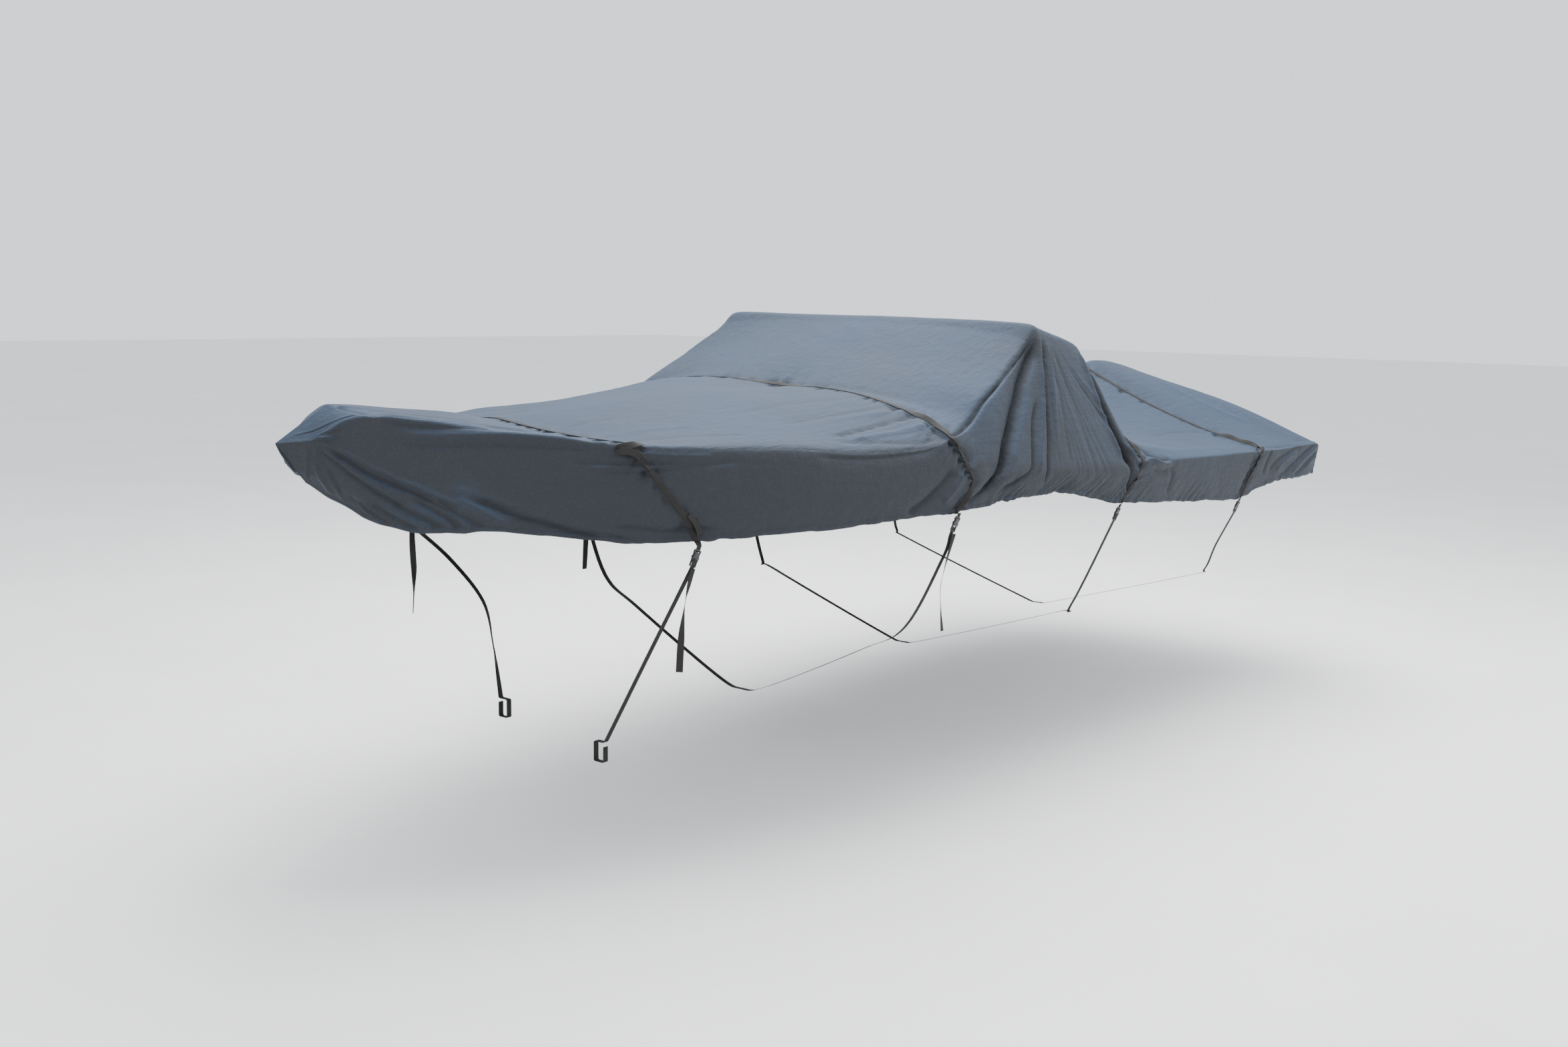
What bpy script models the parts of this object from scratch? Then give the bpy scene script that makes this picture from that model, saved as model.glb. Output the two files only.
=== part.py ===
"""A fitted cloth cover over an open motor boat with a windshield, held down by four webbing straps.

The boat itself is left out, so the cover hangs in its fitted shape. The bow points to -Y, port is +X.
Inside this script a station is the distance aft of the bow tip, and a height is above the ground that
the boat's trailer stands on. row_frame() turns them into the part's own frame, whose origin lies under
the cloth in the middle of the windshield's top edge.
"""

import bmesh
import bpy
import numpy as np
from mathutils import Matrix

# Driving dimensions, in metres.
CLOTH = 0.003  # the coated cloth with its lining of small creases
GAP = 0.0003  # between pieces that touch
WEB_WIDTH = 0.025
WEB_THICK = 0.0016
WEB_OFF_CLOTH = 0.0034  # from the cloth's face to the inner face of a strap sewn over it
WINDSHIELD_STATION = 3.19
WINDSHIELD_HEIGHT = 1.985
END_STATION = 6.03  # the stern hem

# Cross-sections of the cover. Each runs from the crown over the shoulder and the gunwale to the hem.
SECTION_COLUMNS = (
    "station", "shoulder_out", "shoulder_up", "gunwale_out", "gunwale_up", "hem_out", "hem_up",
)
SECTIONS = (
    (0.00, 0.000, 1.572, 0.000, 1.520, 0.000, 1.460),
    (0.08, 0.085, 1.583, 0.060, 1.482, 0.046, 1.450),
    (0.17, 0.172, 1.655, 0.160, 1.415, 0.149, 1.380),
    (0.20, 0.200, 1.663, 0.190, 1.393, 0.178, 1.352),
    (0.23, 0.224, 1.662, 0.216, 1.376, 0.203, 1.322),
    (0.35, 0.316, 1.646, 0.312, 1.340, 0.296, 1.272),
    (0.50, 0.425, 1.620, 0.424, 1.330, 0.406, 1.276),
    (0.81, 0.616, 1.579, 0.618, 1.310, 0.600, 1.235),
    (1.02, 0.728, 1.557, 0.732, 1.300, 0.708, 1.212),
    (1.49, 0.896, 1.537, 0.905, 1.320, 0.880, 1.217),
    (1.92, 0.991, 1.500, 1.002, 1.330, 0.976, 1.219),
    (2.15, 1.031, 1.500, 1.040, 1.340, 1.014, 1.226),
    (2.31, 1.053, 1.535, 1.062, 1.350, 1.036, 1.225),
    (2.50, 1.015, 1.575, 1.080, 1.355, 1.055, 1.235),
    (2.65, 0.985, 1.664, 1.091, 1.360, 1.066, 1.247),
    (2.87, 0.943, 1.763, 1.102, 1.362, 1.080, 1.254),
    (3.11, 0.896, 1.905, 1.112, 1.350, 1.092, 1.250),
    (3.19, 0.882, 1.970, 1.115, 1.345, 1.094, 1.238),
    (3.24, 0.881, 1.957, 1.116, 1.343, 1.096, 1.230),
    (3.45, 0.880, 1.910, 1.120, 1.335, 1.100, 1.186),
    (3.56, 0.880, 1.882, 1.122, 1.332, 1.102, 1.166),
    (3.66, 0.900, 1.780, 1.124, 1.340, 1.103, 1.158),
    (3.80, 0.985, 1.470, 1.127, 1.338, 1.106, 1.150),
    (4.00, 1.020, 1.395, 1.130, 1.333, 1.110, 1.132),
    (4.44, 1.050, 1.350, 1.130, 1.322, 1.110, 1.101),
    (4.86, 1.070, 1.330, 1.130, 1.312, 1.110, 1.073),
    (5.16, 1.090, 1.316, 1.129, 1.305, 1.108, 1.108),
    (5.45, 1.090, 1.312, 1.126, 1.300, 1.106, 1.128),
    (5.72, 1.090, 1.310, 1.122, 1.300, 1.100, 1.120),
    (5.91, 1.090, 1.307, 1.118, 1.294, 1.086, 1.125),
    (5.98, 1.065, 1.270, 1.092, 1.240, 1.064, 1.120),
    (6.03, 1.012, 1.165, 1.038, 1.145, 1.026, 1.115),
)

# The top between the shoulders: its height in the middle, and how far it swells (+) or sags (-) to port.
CROWN_COLUMNS = ("station", "middle_up", "port_swell")
CROWN = (
    (0.00, 1.572, 0.0),
    (0.08, 1.621, 0.0),
    (0.18, 1.681, -0.5),
    (0.20, 1.691, -0.6),
    (0.23, 1.690, -0.6),
    (0.45, 1.669, -0.8),
    (0.70, 1.643, -0.9),
    (0.92, 1.610, -1.2),
    (1.20, 1.620, 0.2),
    (1.60, 1.656, 0.7),
    (2.00, 1.682, 1.1),
    (2.47, 1.675, 1.8),
    (2.52, 1.692, 1.8),
    (2.65, 1.754, 1.3),
    (2.87, 1.848, 0.9),
    (3.11, 1.955, 0.8),
    (3.19, 1.985, 0.8),
    (3.40, 1.955, 0.6),
    (3.58, 1.868, 0.3),
    (3.66, 1.770, 0.2),
    (3.80, 1.530, 0.4),
    (4.05, 1.525, 0.0),
    (4.50, 1.595, -0.3),
    (4.90, 1.680, -0.5),
    (5.17, 1.725, -0.45),
    (5.34, 1.754, -0.3),
    (5.60, 1.722, 0.1),
    (5.75, 1.659, 0.6),
    (5.90, 1.524, 1.15),
    (5.98, 1.360, 0.9),
    (6.03, 1.190, 0.8),
)

# The starboard side isn't quite the port side's mirror: the cover is pulled a little to port at the bow.
STARBOARD_COLUMNS = ("station", "swell", "shoulder_lift", "hem_lift")
STARBOARD = (
    (0.00, 0.0, 0.000, 0.000),
    (0.08, 0.0, -0.065, 0.020),
    (0.20, 0.0, -0.110, 0.120),
    (0.35, 0.1, -0.090, 0.110),
    (0.50, 0.3, -0.060, 0.040),
    (0.70, 0.4, 0.000, 0.010),
    (0.92, 0.4, 0.004, 0.000),
    (1.30, 0.5, 0.014, 0.000),
    (1.60, 0.7, 0.034, 0.000),
    (2.00, 1.3, 0.030, 0.000),
    (2.47, 2.8, -0.020, 0.000),
    (2.65, 2.0, 0.000, 0.000),
    (2.87, 1.4, 0.025, 0.000),
    (3.11, 0.9, 0.035, 0.000),
    (3.19, 0.9, 0.025, 0.000),
    (3.40, 0.9, 0.000, 0.000),
    (3.80, 0.4, 0.000, 0.000),
    (4.50, -0.3, 0.000, 0.000),
    (5.34, -0.4, 0.000, 0.000),
    (5.60, 0.1, 0.000, 0.000),
    (6.03, 0.8, 0.000, 0.000),
)

# How far round the section each corner lies, from 0 at the crown to 1 at the hem, and its rounding.
SHOULDER_AT = 0.56
GUNWALE_AT = 0.84
CORNER_ROUNDING = 0.016

# The four straps sewn over the cover: the stations at which each crosses the crown, the shoulder,
# the gunwale and the hem.
STRAPS = (
    (0.92, 0.92, 1.10, 1.16),
    (2.50, 2.31, 2.45, 2.36),
    (3.85, 3.82, 3.80, 3.63),
    (5.17, 5.16, 5.12, 4.91),
)
STEM_RAKE = 0.108  # the bow hem lies this far aft of the tip
STEM_REACH = 0.4  # how far aft of the tip the stem's lean is felt
PANELS = ("bow_panel", "foredeck_panel", "windshield_panel", "cockpit_panel", "stern_panel")
ROW_SPACING = 0.13
SEAM_ROW = 0.020  # rows this near to each seam, so that a strap lies on even cloth
GIRTH_STEPS = (8, 5, 3)  # from the crown to the shoulder, on to the gunwale, and on to the hem

# Creases of the drape, on both sides: how far each stands out (+) or in (-), its half width, and marks
# along it, each a distance off the middle, a station and a height.
FOLDS = (
    # From the windshield's top corner down its side to the hem.
    (-0.030, 0.050, ((0.90, 3.12, 1.88), (0.95, 2.98, 1.73), (1.00, 2.84, 1.62), (1.06, 2.68, 1.44),
                     (1.08, 2.57, 1.34), (1.06, 2.50, 1.28))),
    (-0.022, 0.030, ((0.90, 3.21, 1.90), (0.94, 3.16, 1.80), (1.02, 3.05, 1.57), (1.10, 2.95, 1.36),
                     (1.09, 2.91, 1.27))),
    (0.018, 0.040, ((0.99, 3.01, 1.64), (1.07, 2.89, 1.43), (1.09, 2.80, 1.32), (1.08, 2.66, 1.28))),
    (-0.028, 0.040, ((0.90, 3.60, 1.83), (0.94, 3.59, 1.72), (1.01, 3.59, 1.58), (1.09, 3.63, 1.40),
                     (1.12, 3.63, 1.34), (1.10, 3.57, 1.19))),
    # Fanning out from the bow.
    (0.010, 0.035, ((0.09, 0.10, 1.59), (0.20, 0.22, 1.51), (0.32, 0.37, 1.39))),
    (-0.012, 0.030, ((0.10, 0.12, 1.56), (0.19, 0.21, 1.49), (0.34, 0.39, 1.37), (0.49, 0.63, 1.26))),
    (-0.015, 0.045, ((0.42, 0.49, 1.42), (0.51, 0.64, 1.34), (0.59, 0.77, 1.28), (0.65, 0.90, 1.24))),
    (-0.016, 0.045, ((0.23, 0.24, 1.64), (0.30, 0.34, 1.62), (0.40, 0.48, 1.60), (0.52, 0.66, 1.58))),
    (-0.012, 0.050, ((0.08, 0.20, 1.67), (0.12, 0.45, 1.65), (0.15, 0.85, 1.60))),
    # Along the foredeck's edge and side.
    (0.012, 0.060, ((0.90, 2.33, 1.59), (0.84, 2.05, 1.58), (0.80, 1.75, 1.57))),
    (-0.010, 0.050, ((0.76, 1.06, 1.47), (0.85, 1.30, 1.45), (0.92, 1.56, 1.44), (0.99, 1.88, 1.44))),
    # Slanting forward across the stern quarter.
    (-0.014, 0.035, ((1.12, 5.86, 1.26), (1.11, 5.60, 1.22), (1.10, 5.39, 1.15))),
    (-0.014, 0.030, ((1.12, 5.90, 1.22), (1.11, 5.72, 1.17), (1.09, 5.56, 1.13))),
    (-0.012, 0.035, ((1.10, 5.63, 1.30), (1.12, 5.30, 1.25), (1.11, 5.16, 1.16))),
)

# Below the hem each strap meets a side-release buckle, whose lower half holds the tie-down webbing.
SOCKET_SIZE = (0.034, 0.032, 0.0095)  # across, along and through
PLUG_SIZE = (0.032, 0.030, 0.0080)
SOCKET_WAIST = 0.0030  # how far the release windows are cut in at each side
BUCKLE_CORNER = 0.004
BUCKLE_BEVEL = 0.0012
# A buckle's top and bottom, and the marks that its tie-down passes, as in FOLDS. The first goes to a
# rail of the trailer on each side, and the others pass under the keel, where the last mark lies.
TIES = (
    ((0.786, 1.142, 1.188), (0.780, 1.118, 1.130), None),
    ((1.064, 2.345, 1.216), (1.052, 2.322, 1.158),
     ((1.026, 2.300, 1.050), (0.868, 2.280, 0.755), (0.650, 2.280, 0.628), (0.155, 2.280, 0.390),
      (0.0, 2.280, 0.352))),
    ((1.118, 3.575, 1.146), (1.104, 3.555, 1.088),
     ((0.935, 3.500, 0.683), (0.860, 3.500, 0.640), (0.155, 3.500, 0.405), (0.0, 3.500, 0.370))),
    ((1.113, 4.886, 1.060), (1.098, 4.866, 1.002),
     ((1.030, 4.820, 0.830), (0.985, 4.800, 0.700), (0.900, 4.800, 0.655), (0.155, 4.800, 0.425),
      (0.0, 4.800, 0.390))),
)
LEAD = 0.014  # webbing runs straight for this far beside a buckle
# The first tie-down's two sides, down to their rail: marks as above, with the way that the webbing's
# width points, in degrees from aft towards port.
RAIL_TIES = {
    "starboard": ((0.640, 1.190, 0.985, 8.0), (0.520, 1.262, 0.815, 20.0), (0.472, 1.272, 0.640, 40.0),
                  (0.440, 1.268, 0.520, 15.0), (0.415, 1.262, 0.430, 0.0)),
    "port": ((0.572, 1.111, 0.778, 0.0), (0.363, 1.104, 0.425, 0.0)),
}
RAIL_SIZE = (0.050, 0.076)  # the rail that they go round, as wide and as high
RAIL_BEND = 0.007  # radius of the webbing's bends on its edges
RAIL_END = 0.016  # the turn ends this far below where it began
# Free ends of the first two tie-downs, as marks of the same kind.
TAILS = (
    ((0.787, 1.116, 1.124, 0.0), (0.776, 1.107, 1.065, -12.0), (0.765, 1.101, 1.005, -40.0),
     (0.756, 1.098, 0.935, -10.0), (0.752, 1.093, 0.850, 38.0), (0.752, 1.087, 0.757, 46.0)),
    ((1.062, 2.324, 1.150, 0.0), (1.049, 2.313, 1.085, -8.0), (1.036, 2.304, 1.018, -25.0),
     (1.020, 2.300, 0.932, -36.0), (1.024, 2.300, 0.847, -28.0), (1.032, 2.302, 0.759, -8.0)),
)
TIE_SPACING = 0.08
TAIL_SPACING = 0.022


def column(table, columns, name):
    return np.array([row[columns.index(name)] for row in table])


def follow(table, columns, name, station):
    """One column of a table at any station, by cubics that don't overshoot its values."""
    x = column(table, columns, "station")
    y = column(table, columns, name)
    slope = np.diff(y) / np.diff(x)
    before, after = slope[:-1], slope[1:]
    agree = before * after > 0
    tangent = np.concatenate(([slope[0]], np.zeros(len(before)), [slope[-1]]))
    tangent[1:-1][agree] = 2 * before[agree] * after[agree] / (before[agree] + after[agree])
    i = np.clip(np.searchsorted(x, station) - 1, 0, len(x) - 2)
    run = x[i + 1] - x[i]
    t = np.clip((station - x[i]) / run, 0, 1)
    start = (1 + 2 * t) * (1 - t) ** 2 * y[i] + t * (1 - t) ** 2 * run * tangent[i]
    end = t**2 * (3 - 2 * t) * y[i + 1] + t**2 * (t - 1) * run * tangent[i + 1]
    return start + end


def ramp(x):
    """0 below x = 0 and x above it, with a rounded corner."""
    return (x + np.sqrt(x**2 + CORNER_ROUNDING**2)) / 2


def round_section(girth, crown, shoulder, gunwale, hem):
    """Straight runs from the crown to the hem through two rounded corners."""
    top = (shoulder - crown) / SHOULDER_AT
    side = (gunwale - shoulder) / (GUNWALE_AT - SHOULDER_AT)
    skirt = (hem - gunwale) / (1 - GUNWALE_AT)
    bend = (side - top) * ramp(girth - SHOULDER_AT) + (skirt - side) * ramp(girth - GUNWALE_AT)
    return crown + top * girth + bend


def row_frame(out, station, up):
    """Distances to port, aft of the bow tip and above the ground, as a point of the part."""
    height_of_origin = WINDSHIELD_HEIGHT - CLOTH
    return np.stack([out, station - WINDSHIELD_STATION, up - height_of_origin], axis=-1)


def stem(girth):
    """The station of the bow's edge, which leans aft as it goes down."""
    down = np.clip((np.abs(girth) - SHOULDER_AT) / (1 - SHOULDER_AT), 0, 1)
    return STEM_RAKE * down**1.3


def taut_cloth(station, girth):
    """The cover without its creases: girth runs from -1 at the starboard hem to 1 at the port one."""
    station, girth = np.broadcast_arrays(np.asarray(station, float), np.asarray(girth, float))
    around = np.abs(girth)
    lean = stem(girth)
    spread_at = np.where(station < STEM_REACH, (station - lean) / (1 - lean / STEM_REACH), station)
    spread_at = np.maximum(spread_at, 0)
    wide = [follow(SECTIONS, SECTION_COLUMNS, name, spread_at) for name in SECTION_COLUMNS[1::2]]
    high = [follow(SECTIONS, SECTION_COLUMNS, name, station) for name in SECTION_COLUMNS[2::2]]
    middle = follow(CROWN, CROWN_COLUMNS, "middle_up", station)
    port = follow(CROWN, CROWN_COLUMNS, "port_swell", station)
    starboard = follow(STARBOARD, STARBOARD_COLUMNS, "swell", station)
    shoulder_lift = follow(STARBOARD, STARBOARD_COLUMNS, "shoulder_lift", station)
    hem_lift = follow(STARBOARD, STARBOARD_COLUMNS, "hem_lift", station)
    out = round_section(around, 0 * station, *wide)
    rounded = np.sqrt(around**2 + CORNER_ROUNDING**2)
    up = round_section(rounded, middle, *high)
    across = np.clip(rounded / SHOULDER_AT, 0, 1)
    swell = np.where(girth > 0, port, starboard)
    up = up + (middle - high[0]) * swell * across * (1 - across)
    down_the_side = np.clip((around - SHOULDER_AT) / (1 - SHOULDER_AT), 0, 1)
    lift = shoulder_lift * across**2 * (1 - down_the_side) + hem_lift * down_the_side
    up = up + np.where(girth > 0, 0, lift)
    return row_frame(np.copysign(out, girth), station, up)


def outward(surface, station, girth):
    """The direction away from the boat, square to a surface that is given as a function."""
    step = 0.004
    aft = surface(station + step, girth) - surface(station - step, girth)
    to_port = surface(station, np.minimum(girth + step, 1))
    to_port = to_port - surface(station, np.maximum(girth - step, -1))
    normal = np.cross(to_port, aft)
    return normal / np.linalg.norm(normal, axis=-1, keepdims=True)


def distance_to_line(points, line):
    """How far each point is from a line of straight runs."""
    nearest = np.full(points.shape[:-1], np.inf)
    for start, end in zip(line[:-1], line[1:]):
        run = end - start
        share = np.clip((points - start) @ run / (run @ run), 0, 1)
        gap = np.linalg.norm(points - start - share[..., None] * run, axis=-1)
        nearest = np.minimum(nearest, gap)
    return nearest


def cloth(station, girth):
    """The cover's outer face, with its creases."""
    points = taut_cloth(station, girth)
    rise = np.zeros(points.shape[:-1])
    for depth, half_width, marks in FOLDS:
        for side in (1, -1):
            line = np.array([row_frame(side * out, aft, up) for out, aft, up in marks])
            rise += depth * np.exp(-((distance_to_line(points, line) / half_width) ** 2))
    return points + rise[..., None] * outward(taut_cloth, station, girth)


def strap_line(strap, girth):
    """The station at which a strap crosses each part of the girth."""
    return round_section(np.abs(girth), *strap)


def girth_columns():
    corners = (0, SHOULDER_AT, GUNWALE_AT, 1)
    half = [0.0]
    for steps, start, end in zip(GIRTH_STEPS, corners[:-1], corners[1:]):
        half += list(np.linspace(start, end, steps + 1)[1:])
    half = np.array(half)
    return np.concatenate([-half[:0:-1], half])


def panel_rows(front, rear):
    """Shares of the way along a panel: its seams, a row beside each, and the sections' own stations."""
    length = rear - front
    marks = [front, rear]
    marks += [front + SEAM_ROW] if front > 0 else []
    marks += [rear - SEAM_ROW] if rear < END_STATION else []
    sections = column(SECTIONS, SECTION_COLUMNS, "station")
    marks += [s for s in sections if front + 2 * SEAM_ROW < s < rear - 2 * SEAM_ROW]
    marks = np.array(sorted(marks))
    rows = []
    for start, end in zip(marks[:-1], marks[1:]):
        steps = int(np.ceil((end - start) / ROW_SPACING))
        rows += list(np.linspace(start, end, steps + 1)[:-1])
    return (np.array(rows + [rear]) - front) / length


def material(name, colour, roughness, metallic=0.0):
    made = bpy.data.materials.new(name)
    made.use_nodes = True
    shader = made.node_tree.nodes["Principled BSDF"]
    shader.inputs["Base Color"].default_value = (*colour, 1)
    shader.inputs["Roughness"].default_value = roughness
    shader.inputs["Metallic"].default_value = metallic
    return made


def add_object(name, mesh, finish):
    mesh.materials.append(finish)
    piece = bpy.data.objects.new(name, mesh)
    bpy.context.scene.collection.objects.link(piece)
    return piece


def mesh_of(name, points, faces):
    """A closed mesh, with points that coincide made one."""
    mesh = bpy.data.meshes.new(name)
    mesh.from_pydata([tuple(p) for p in points], [], faces)
    shape = bmesh.new()
    shape.from_mesh(mesh)
    bmesh.ops.remove_doubles(shape, verts=shape.verts, dist=1e-5)
    bmesh.ops.dissolve_degenerate(shape, edges=shape.edges, dist=1e-6)
    shape.to_mesh(mesh)
    shape.free()
    mesh.shade_smooth()
    return mesh


def sheet_faces(rows, columns, closed_front):
    """Quads of an outer grid, of the inner grid that follows it, and of the rim between them."""
    inner = rows * columns

    def at(row, col, layer=0):
        return layer * inner + row * columns + col

    faces = []
    for r in range(rows - 1):
        for c in range(columns - 1):
            faces.append((at(r, c), at(r, c + 1), at(r + 1, c + 1), at(r + 1, c)))
            faces.append((at(r, c, 1), at(r + 1, c, 1), at(r + 1, c + 1, 1), at(r, c + 1, 1)))
    for r in range(rows - 1):
        faces.append((at(r, 0), at(r + 1, 0), at(r + 1, 0, 1), at(r, 0, 1)))
        last = columns - 1
        faces.append((at(r, last), at(r, last, 1), at(r + 1, last, 1), at(r + 1, last)))
    for c in range(columns - 1):
        faces.append((at(rows - 1, c), at(rows - 1, c + 1), at(rows - 1, c + 1, 1), at(rows - 1, c, 1)))
        if not closed_front:
            faces.append((at(0, c), at(0, c, 1), at(0, c + 1, 1), at(0, c + 1)))
    return faces


def add_panel(name, front, rear, finish):
    """A panel of cloth between two seams. The bow panel starts at the stem, where its sides meet."""
    girth = girth_columns()
    at_bow = front is None
    front_line = stem(girth) if at_bow else strap_line(front, girth) + GAP / 2
    rear_line = np.full_like(girth, END_STATION) if rear is None else strap_line(rear, girth) - GAP / 2
    middle = len(girth) // 2
    share = panel_rows(front_line[middle], rear_line[middle])[:, None]
    station = front_line + share * (rear_line - front_line)
    girth = np.broadcast_to(girth, station.shape)
    outer = taut_cloth(station, girth)
    inner = outer.copy()
    drape = slice(1 if at_bow else 0, None)
    outer[drape] = cloth(station[drape], girth[drape])
    inner[drape] = outer[drape] - CLOTH * outward(cloth, station[drape], girth[drape])
    if at_bow:
        outer[0, :, 0] = 0
        outer[0, :middle] = outer[0, : middle : -1]
        on_top = np.abs(girth[0]) <= SHOULDER_AT + 1e-9
        outer[0, on_top] = outer[0, middle]
        inner[0] = outer[0] + np.array([0, 2 * CLOTH, 0])
        inner[0, on_top] -= np.array([0, 0, CLOTH])
    points = np.concatenate([outer.reshape(-1, 3), inner.reshape(-1, 3)])
    rows, columns = station.shape
    return add_object(name, mesh_of(name, points, sheet_faces(rows, columns, at_bow)), finish)


def smooth_route(marks, spacing):
    """A curve through marks (Catmull-Rom), as points about a spacing apart."""
    marks = np.array(marks, float)
    padded = np.vstack([2 * marks[0] - marks[1], marks, 2 * marks[-1] - marks[-2]])
    route = []
    for a, b, c, d in zip(padded[:-3], padded[1:-2], padded[2:-1], padded[3:]):
        length = np.linalg.norm((c - b)[:3])
        t = np.linspace(0, 1, max(int(np.ceil(length / spacing)), 1) + 1)[:-1, None]
        square, cube = 2 * a - 5 * b + 4 * c - d, 3 * (b - c) + d - a
        route.append(b + t * ((c - a) + t * (square + t * cube)) / 2)
    return np.vstack(route + [marks[-1:]])


def unit(vectors):
    return vectors / np.linalg.norm(vectors, axis=-1, keepdims=True)


def ribbon_corners(middle, across):
    """The four corners of a flat strap at each point of a line, with the direction of its width there."""
    along = unit(np.gradient(middle, axis=0))
    across = unit(across - (across * along).sum(axis=1, keepdims=True) * along)
    half_width = across * WEB_WIDTH / 2
    half_thick = np.cross(along, across) * WEB_THICK / 2
    return np.stack([
        middle - half_width - half_thick,
        middle + half_width - half_thick,
        middle + half_width + half_thick,
        middle - half_width + half_thick,
    ], axis=1)


def add_ribbon(name, corners, finish):
    """A closed strip. Its two broad faces are cut along the same diagonals, so that they never cross."""
    count = len(corners)
    faces = [(0, 3, 2, 1), (4 * count - 4, 4 * count - 3, 4 * count - 2, 4 * count - 1)]
    for a in range(0, 4 * (count - 1), 4):
        b = a + 4
        faces += [(a, a + 1, b), (a + 1, b + 1, b)]
        faces += [(a + 2, a + 3, b + 3), (a + 2, b + 3, b + 2)]
        faces += [(a + 1, a + 2, b + 2, b + 1), (a + 3, a, b, b + 3)]
    return add_object(name, mesh_of(name, corners.reshape(-1, 3), faces), finish)


def side_points(marks, side):
    """Marks on one side of the boat as points of the part."""
    return np.array([row_frame(side * out, station, up) for out, station, up in marks])


def sewn_corners(strap):
    """The corners of a strap where it lies on the cloth, at the cloth's own places round the girth.

    It leaves the cloth at the last of them before each hem, to stand clear of the hem's edge."""
    girth = girth_columns()[1:-1]
    station = strap_line(strap, girth)
    along = unit(np.gradient(taut_cloth(station, girth), axis=0))
    half = WEB_WIDTH / 2 / np.sqrt(1 - along[:, 1] ** 2)
    corners = []
    for aft, height in ((-1, 0), (1, 0), (1, WEB_THICK), (-1, WEB_THICK)):
        edge = station + aft * half
        corners.append(cloth(edge, girth) + (WEB_OFF_CLOTH + height) * outward(cloth, edge, girth))
    return np.stack(corners, axis=1)


def strap_corners(strap, top, bottom):
    """The corners of a strap from the starboard buckle over the cover to the port one."""
    ends = {}
    for side in (-1, 1):
        marks = side_points([top, bottom], side)
        down = unit(marks[1] - marks[0])
        lead = np.array([marks[0] - LEAD * down, marks[0] - GAP * down])[::side]
        aft = np.tile([0.0, 1.0, 0.0], (2, 1))
        ends[side] = ribbon_corners(lead, aft)
    return np.vstack([ends[-1], sewn_corners(strap), ends[1]])


def buckle_outline(size, waist):
    """One edge of a buckle half, with its width across X and its length along Y."""
    width, length, _ = size
    corner = BUCKLE_CORNER
    return (
        (width / 2 - corner, 0),
        (width / 2, corner),
        (width / 2, 0.30 * length),
        (width / 2 - waist, 0.42 * length),
        (width / 2 - waist, 0.68 * length),
        (width / 2, 0.80 * length),
        (width / 2, length - corner),
        (width / 2 - corner, length),
    )


def add_buckle_half(name, size, waist, top, down, across, finish):
    """A flat moulding with bevelled edges, whose top middle lies at a point, running down the webbing."""
    half = buckle_outline(size, waist)
    outline = list(half) + [(-x, y) for x, y in reversed(half)]
    thick = size[2]
    count = len(outline)
    points = [(x, y, z) for z in (-thick / 2, thick / 2) for x, y in outline]
    faces = [tuple(range(count))[::-1], tuple(range(count, 2 * count))]
    faces += [(i, (i + 1) % count, (i + 1) % count + count, i + count) for i in range(count)]
    mesh = mesh_of(name, points, faces)
    down = unit(down)
    across = unit(across - (across @ down) * down)
    turn = np.column_stack([across, down, np.cross(across, down)])
    mesh.transform(Matrix(turn.tolist()).to_4x4())
    piece = add_object(name, mesh, finish)
    piece.location = top
    bevel = piece.modifiers.new("rounded_edges", "BEVEL")
    bevel.width = BUCKLE_BEVEL
    bevel.segments = 1
    bevel.limit_method = "ANGLE"
    bevel.angle_limit = np.radians(50)
    return piece


def add_buckle(name, top, bottom, finish):
    """The two halves of a side-release buckle between the strap's end and the tie-down's."""
    down = unit(bottom - top)
    aft = np.array([0.0, 1.0, 0.0])
    add_buckle_half(f"{name}_socket", SOCKET_SIZE, SOCKET_WAIST, top + GAP * down, down, aft, finish)
    plug_top = top + (SOCKET_SIZE[1] + 2 * GAP) * down
    add_buckle_half(f"{name}_plug", PLUG_SIZE, 0.0, plug_top, down, aft, finish)
    return plug_top + (PLUG_SIZE[1] + GAP) * down


def rail_turn(before, end, side):
    """Points of a turn of webbing round a box rail, from its outer top edge, with every bend rounded."""
    width, height = RAIL_SIZE
    inward, down = np.array([-side, 0.0, 0.0]), np.array([0.0, 0.0, -1.0])
    below = end + height * down
    edges = [before, end, end + width * inward, below + width * inward, below, end + RAIL_END * down]
    t = np.linspace(0, 1, 5)[:, None]
    bends = []
    for a, b, c in zip(edges[:-2], edges[1:-1], edges[2:]):
        into, out_of = b - RAIL_BEND * unit(b - a), b + RAIL_BEND * unit(c - b)
        bends.append((1 - t) ** 2 * into + 2 * t * (1 - t) * b + t**2 * out_of)
    return np.vstack(bends + [edges[-1:]])


def turned_width(degrees, side):
    """The direction of a strap's width, turned from aft towards port and mirrored with its side."""
    angle = np.radians(degrees)
    return np.column_stack([side * np.sin(angle), np.cos(angle), 0 * angle])


def add_rail_tie(name, start, marks, side, finish):
    """A tie-down that turns on its way to a rail and goes once round it."""
    marks = np.array(marks)
    marks = np.column_stack([side_points(marks[:, :3], side), marks[:, 3]])
    turned = smooth_route(np.vstack([np.column_stack([start, [0, 0]]), marks]), TIE_SPACING)
    turn = rail_turn(turned[-2, :3], turned[-1, :3], side)
    route = np.vstack([turned[:-1, :3], turn])
    degrees = np.concatenate([turned[:-1, 3], np.zeros(len(turn))])
    add_ribbon(name, ribbon_corners(route, turned_width(degrees, side)), finish)


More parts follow.
